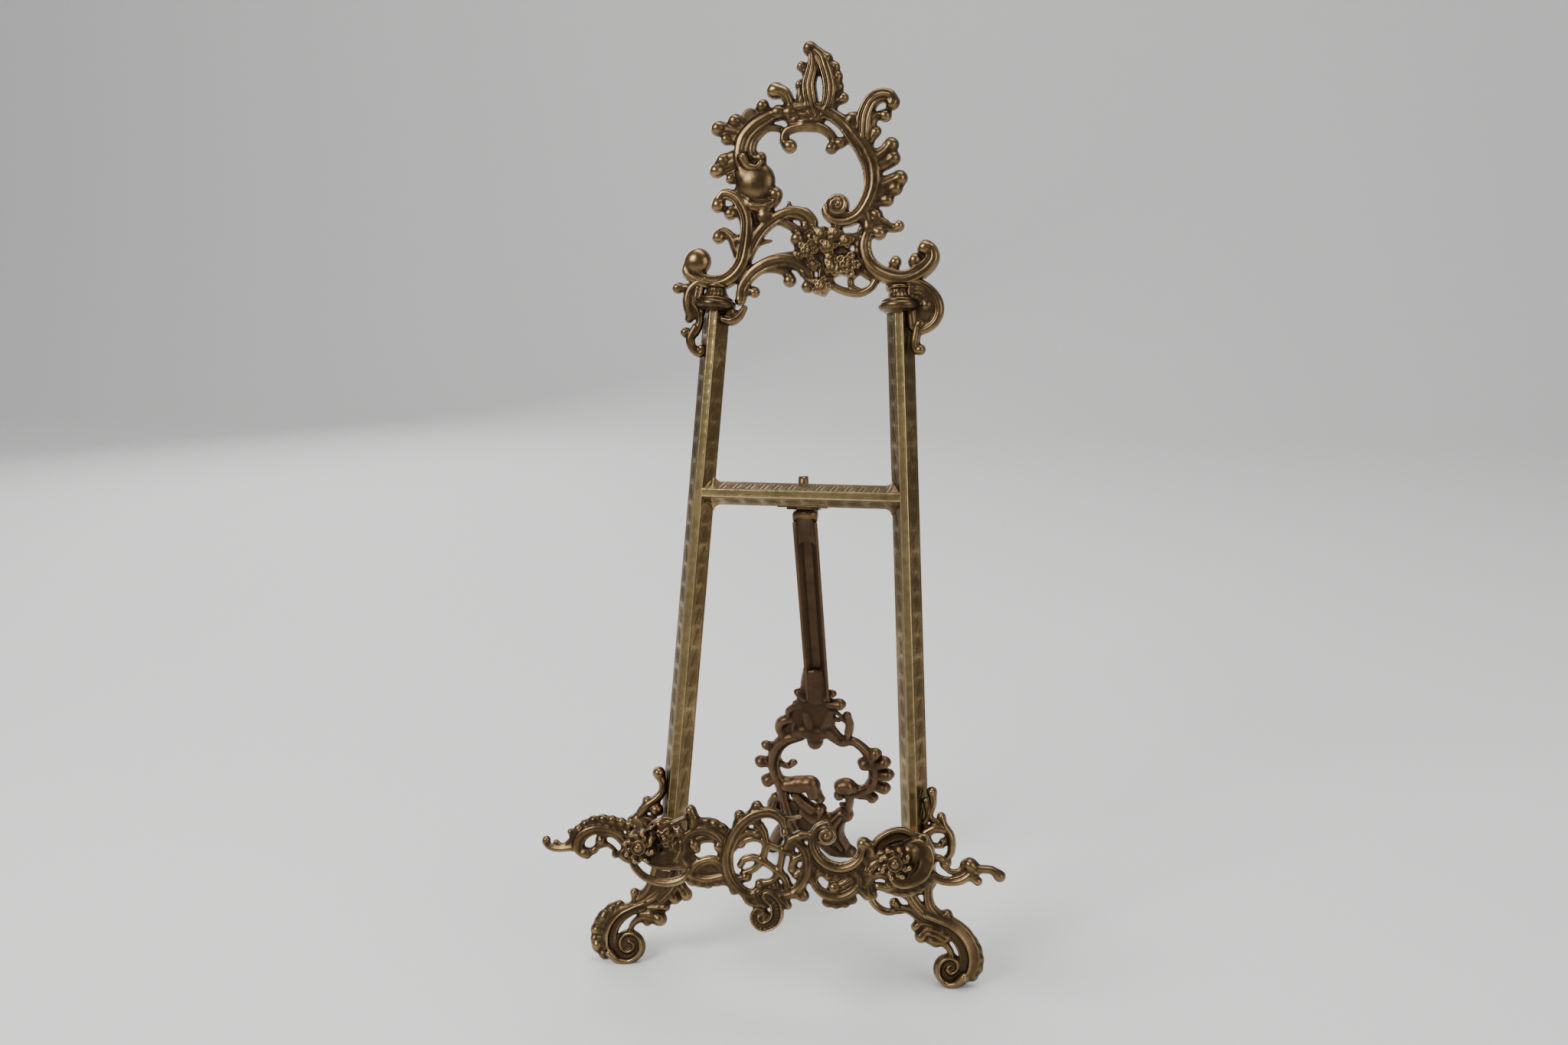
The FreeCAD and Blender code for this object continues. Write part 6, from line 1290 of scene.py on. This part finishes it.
ARM_ROOT = 72.0                         # rise of the cup on the upright
CUP_OUT = 9.0                           # flat face of the uprights
CUP_TURNS, GADROONS, GADROON_SIZE = 108, 9, 0.7
CUP = ([(0.2, -1.0), (6.0, -1.0), (6.2, 0.4), (7.4, 1.6), (8.8, 3.2), (10.0, 5.0), (10.9, 6.9),
        (11.3, 8.2)] + arc((11.3, 9.0), 0.9, -90, 150, 8)
       + [(9.6, 8.2), (8.0, 5.4), (5.6, 3.6), (0.2, 3.0)])
ARM_BOW = 4.0                           # how far an arm swells outwards
ARM_RADII = [5.2, 4.4, 4.2, 4.4, 4.6]
BOSS_OUT, BOSS_RADIUS, BOSS_TURNS = 71.4, 6.3, 48
BOSS = [(0.1, -BOSS_RADIUS)] + arc((0, 0), BOSS_RADIUS, -84, 0, 12) + [(5.6, 0.6), (0.1, 0.7)]
ROSETTE_X, ROSETTE_RISE, ROSETTE_OUT, ROSETTE_REACH = 66.0, 80, 81.6, 11
ROSETTE_PETALS, ROSETTE_TURN = 8, 12    # the turn in degrees
PETAL = ((2.6, 0.0), (5.0, 0.05), (7.3, 0.35))      # radius and twist along a petal
RING, RING_POINTS = 3.4, 13             # raised ring round the rosette's heart


def cup_ribs(angle, profile):
    """Gadroons that swell round the outside of the cup."""
    outside = (profile[:, 1:] > 0.5) & (profile[:, 1:] < 8.2)
    return GADROON_SIZE * outside * (np.abs(np.cos(GADROONS * angle)) ** 0.7 - 0.5)


def on_rosette(end, radius, angle):
    return end + radius * math.cos(angle), ROSETTE_RISE + radius * math.sin(angle)


for side, name in SIDES:
    root, end, bow = axis_x(side, ARM_ROOT), side * ROSETTE_X, side * ARM_BOW
    cup = lathe(name + "_cup", CUP,
                lambda a, b, h: frame_point(root + a, CUP_OUT + h, ARM_ROOT + b),
                CUP_TURNS, cup_ribs)
    bar = sweep(name + "_arm_bar", [
        (root, CUP_OUT, ARM_ROOT), (root + bow / 2, 24, 70), (root + bow, 44, 71),
        (end + bow / 2, 60, 76), (end, 71.5, ROSETTE_RISE)], ARM_RADII)
    ball = lathe(name + "_boss", BOSS,
                 lambda a, b, h: frame_point(end + a, BOSS_OUT + h, ROSETTE_RISE + b),
                 BOSS_TURNS)
    arm = joined(name + "_arm_cast", cup, bar, ball)
    place_piece(arm, "frame", "aged_brass", AGED, name + "_arm")

    relief = Relief((end - ROSETTE_REACH, ROSETTE_RISE - ROSETTE_REACH),
                    (end + ROSETTE_REACH, ROSETTE_RISE + ROSETTE_REACH), 0.3)
    relief.knob(7.4, end, ROSETTE_RISE, 0.35, 1.2)
    relief.knob(4.4, end, ROSETTE_RISE, 0.5, 3.6)
    for k in range(ROSETTE_PETALS):
        a = math.radians(360 // ROSETTE_PETALS * k + ROSETTE_TURN)
        reach = [on_rosette(end, r, a + twist) for r, twist in PETAL]
        relief.stroke("lined", (2.4, 4.0, 3.2), reach, 1.1, 3.0)
        relief.knob(1.5, *reach[-1], 1.0, 4.2)
    relief.stroke("round", 1.6, [on_rosette(end, RING, t)
                                 for t in np.linspace(0, 2 * math.pi, RING_POINTS)], 1.0, 5.0)
    relief.knob(2.6, end, ROSETTE_RISE, 1.0, 5.0)
    petals = cast(name + "_rosette_petals", relief, frame_point, ROSETTE_OUT,
                  back_share=0.3, back_most=1.6)
    place_piece(petals, "frame", "aged_brass", AGED, name + "_rosette")

# ------------------------------------------------------------ rear leg

LEG_BASE, HEAD_LENGTH = 128.0, 12.0
LEG_SIZES, LEG_FRONT, LEG_FLOOR = (14.2, 6.6, 8.0, 1.5), 4.0, 3.6
leg = moulding("rear_leg_bar", PIN_RISE - HEAD_LENGTH - LEG_BASE, LEG_SIZES,
               lambda u, v, w: leg_point(-u, LEG_FRONT - v, LEG_BASE + w),
               ("leaves", "leaves"), floor=LEG_FLOOR)
place_piece(leg, "leg", "dull_brass", LEG, "rear_leg")

PIN_BORE, KNUCKLE, KNUCKLE_HALF, KNUCKLE_ROUND, KNUCKLE_TURNS = 1.6, 5.0, 4.3, 0.5, 40
FINGER = [(-4.0, 260.4), (-0.04, 263.0), (-0.04, 272.0), (-0.9, 273.6), (-2.2, 274.2),
          (-3.4, 273.7), (-4.04, 272.5), (-6.6, 265.4), (-7.6, 259.4)]
FINGER_HALF = 2.5
BLOCK_FRONT, BLOCK_BACK, BLOCK_HALF = 3.2, -2.4, 4.9
ARCH_RISE, ARCH = 239.0, 4.0            # the block's rounded lower end
SHOULDER = [(BLOCK_HALF, 256.4), (6.9, 256.4), (6.9, 260.8), (4.2, 263.2)]

upper = [(PIN_BORE, KNUCKLE_HALF), (KNUCKLE - KNUCKLE_ROUND, KNUCKLE_HALF),
         (KNUCKLE, KNUCKLE_HALF - KNUCKLE_ROUND)]
knuckle = lathe("leg_knuckle", [(r, -h) for r, h in upper] + upper[::-1],
                lambda a, b, h: leg_point(h, a, PIN_RISE + b), KNUCKLE_TURNS, ring=True)
finger = prism("leg_finger", FINGER, -FINGER_HALF, FINGER_HALF,
               lambda a, b, d: frame_point(d, a, b))
arch = [(BLOCK_HALF * t, ARCH_RISE + ARCH * math.sqrt(1 - 0.96 * t * t))
        for t in np.linspace(-1, 1, 15)]
block = prism("leg_block", arch + SHOULDER + [(-a, b) for a, b in SHOULDER[::-1]],
              BLOCK_BACK, BLOCK_FRONT, lambda a, b, d: leg_point(a, d, b))
head = joined("leg_head_cast", knuckle, finger, block)
place_piece(head, "leg", "dull_brass", LEG, "leg_head")

RIVET_RISES, RIVET_TURNS = (134.0, 144.0, 234.0, 246.0), 24
RIVET = [(0.1, 3.7), (2.2, 3.7), (2.2, 4.1), (1.9, 4.7), (1.2, 5.2), (0.1, 5.4)]
rivets = [lathe("rivet", RIVET, lambda a, b, h: leg_point(a, -h, rise + b), RIVET_TURNS)
          for rise in RIVET_RISES]
rivets = joined("leg_rivet_heads", *rivets)
place_piece(rivets, "leg", "screw_brass", SCREW, "head_rivets", "foot_rivets")


# ------------------------------------------------------------ CAD nodes that stay

for node, piece in frame["nodes"].items():
    if not piece.hide_render:
        for material_slot in piece.material_slots:
            material_slot.material = DULL_AND_SHADED if node == "hinge_bracket" else SCREW


# ------------------------------------------------------------ stage

FLOOR_HALF, FLOOR_END = 6.0, 1.6        # metres
BEND, WALL_TOP = 0.8, 5.0
PAPER, PAPER_ROUGH = (0.82, 0.815, 0.80), 0.7


def plain(name, colour, rough):
    n = Nodes(name)
    n.put(n.shader.inputs["Base Color"], (*colour, 1))
    n.put(n.shader.inputs["Roughness"], rough)
    return n.material


def sweep_floor():
    """Floor that curves up into a pale wall behind the object."""
    profile = [(-FLOOR_HALF, 0.0), (FLOOR_END, 0.0)]
    profile += [(FLOOR_END + BEND * math.sin(a), BEND - BEND * math.cos(a))
                for a in np.linspace(0.1, math.pi / 2, 14)]
    profile += [(FLOOR_END + BEND, WALL_TOP)]
    points = [(x, y, z) for y, z in profile for x in (-FLOOR_HALF, FLOOR_HALF)]
    faces = np.array([(2 * k, 2 * k + 1, 2 * k + 3, 2 * k + 2)
                      for k in range(len(profile) - 1)])
    return mesh_object("floor", np.array(points), [faces])


floor = sweep_floor()
floor.data.materials.append(plain("pale_paper", PAPER, PAPER_ROUGH))

CENTRE = (0, 0, 0.25)


def area_light(name, place, size, power):
    """Soft light aimed at the middle of the object."""
    lamp = bpy.data.lights.new(name, "AREA")
    lamp.shape = "RECTANGLE"
    lamp.size, lamp.size_y = size
    lamp.energy = power
    holder = bpy.data.objects.new(name, lamp)
    bpy.context.scene.collection.objects.link(holder)
    holder.location = place
    holder.rotation_euler = (Vector(CENTRE) - Vector(place)).to_track_quat("-Z", "Y").to_euler()


SKY, SKY_STRENGTH = (0.9, 0.92, 0.95, 1), 0.35
area_light("key", (-1.0, -1.2, 1.4), (0.8, 0.8), 32)
area_light("fill", (1.5, -0.9, 0.9), (1.0, 1.2), 10)
area_light("top", (0.1, 0.3, 1.9), (1.4, 1.0), 20)
area_light("back", (-0.9, 1.3, 0.8), (1.0, 1.0), 8)

world = bpy.data.worlds.new("studio")
bpy.context.scene.world = world
world.use_nodes = True
world.node_tree.nodes["Background"].inputs["Color"].default_value = SKY
world.node_tree.nodes["Background"].inputs["Strength"].default_value = SKY_STRENGTH

# the photo's camera, solved from the stand's own lines
AZIMUTH, PITCH, ROLL = math.radians(10.05), math.radians(13.34), math.radians(-0.63)
CAMERA_PLACE = (0.1524, -0.9057, 0.4623)
FOCAL_MM, SENSOR_MM, NEAREST = 39.55, 36, 0.05
ahead = Vector((-math.sin(AZIMUTH) * math.cos(PITCH), math.cos(AZIMUTH) * math.cos(PITCH),
                -math.sin(PITCH)))
level = Vector((math.cos(AZIMUTH), math.sin(AZIMUTH), 0))
up = level.cross(ahead)
right = math.cos(ROLL) * level + math.sin(ROLL) * up
top = -math.sin(ROLL) * level + math.cos(ROLL) * up
lens = bpy.data.cameras.new("camera")
lens.lens = FOCAL_MM
lens.sensor_width = SENSOR_MM
lens.clip_start = NEAREST
camera = bpy.data.objects.new("camera", lens)
bpy.context.scene.collection.objects.link(camera)
turn = Matrix((right, top, -ahead)).transposed().to_4x4()
camera.matrix_world = Matrix.Translation(CAMERA_PLACE) @ turn
bpy.context.scene.camera = camera
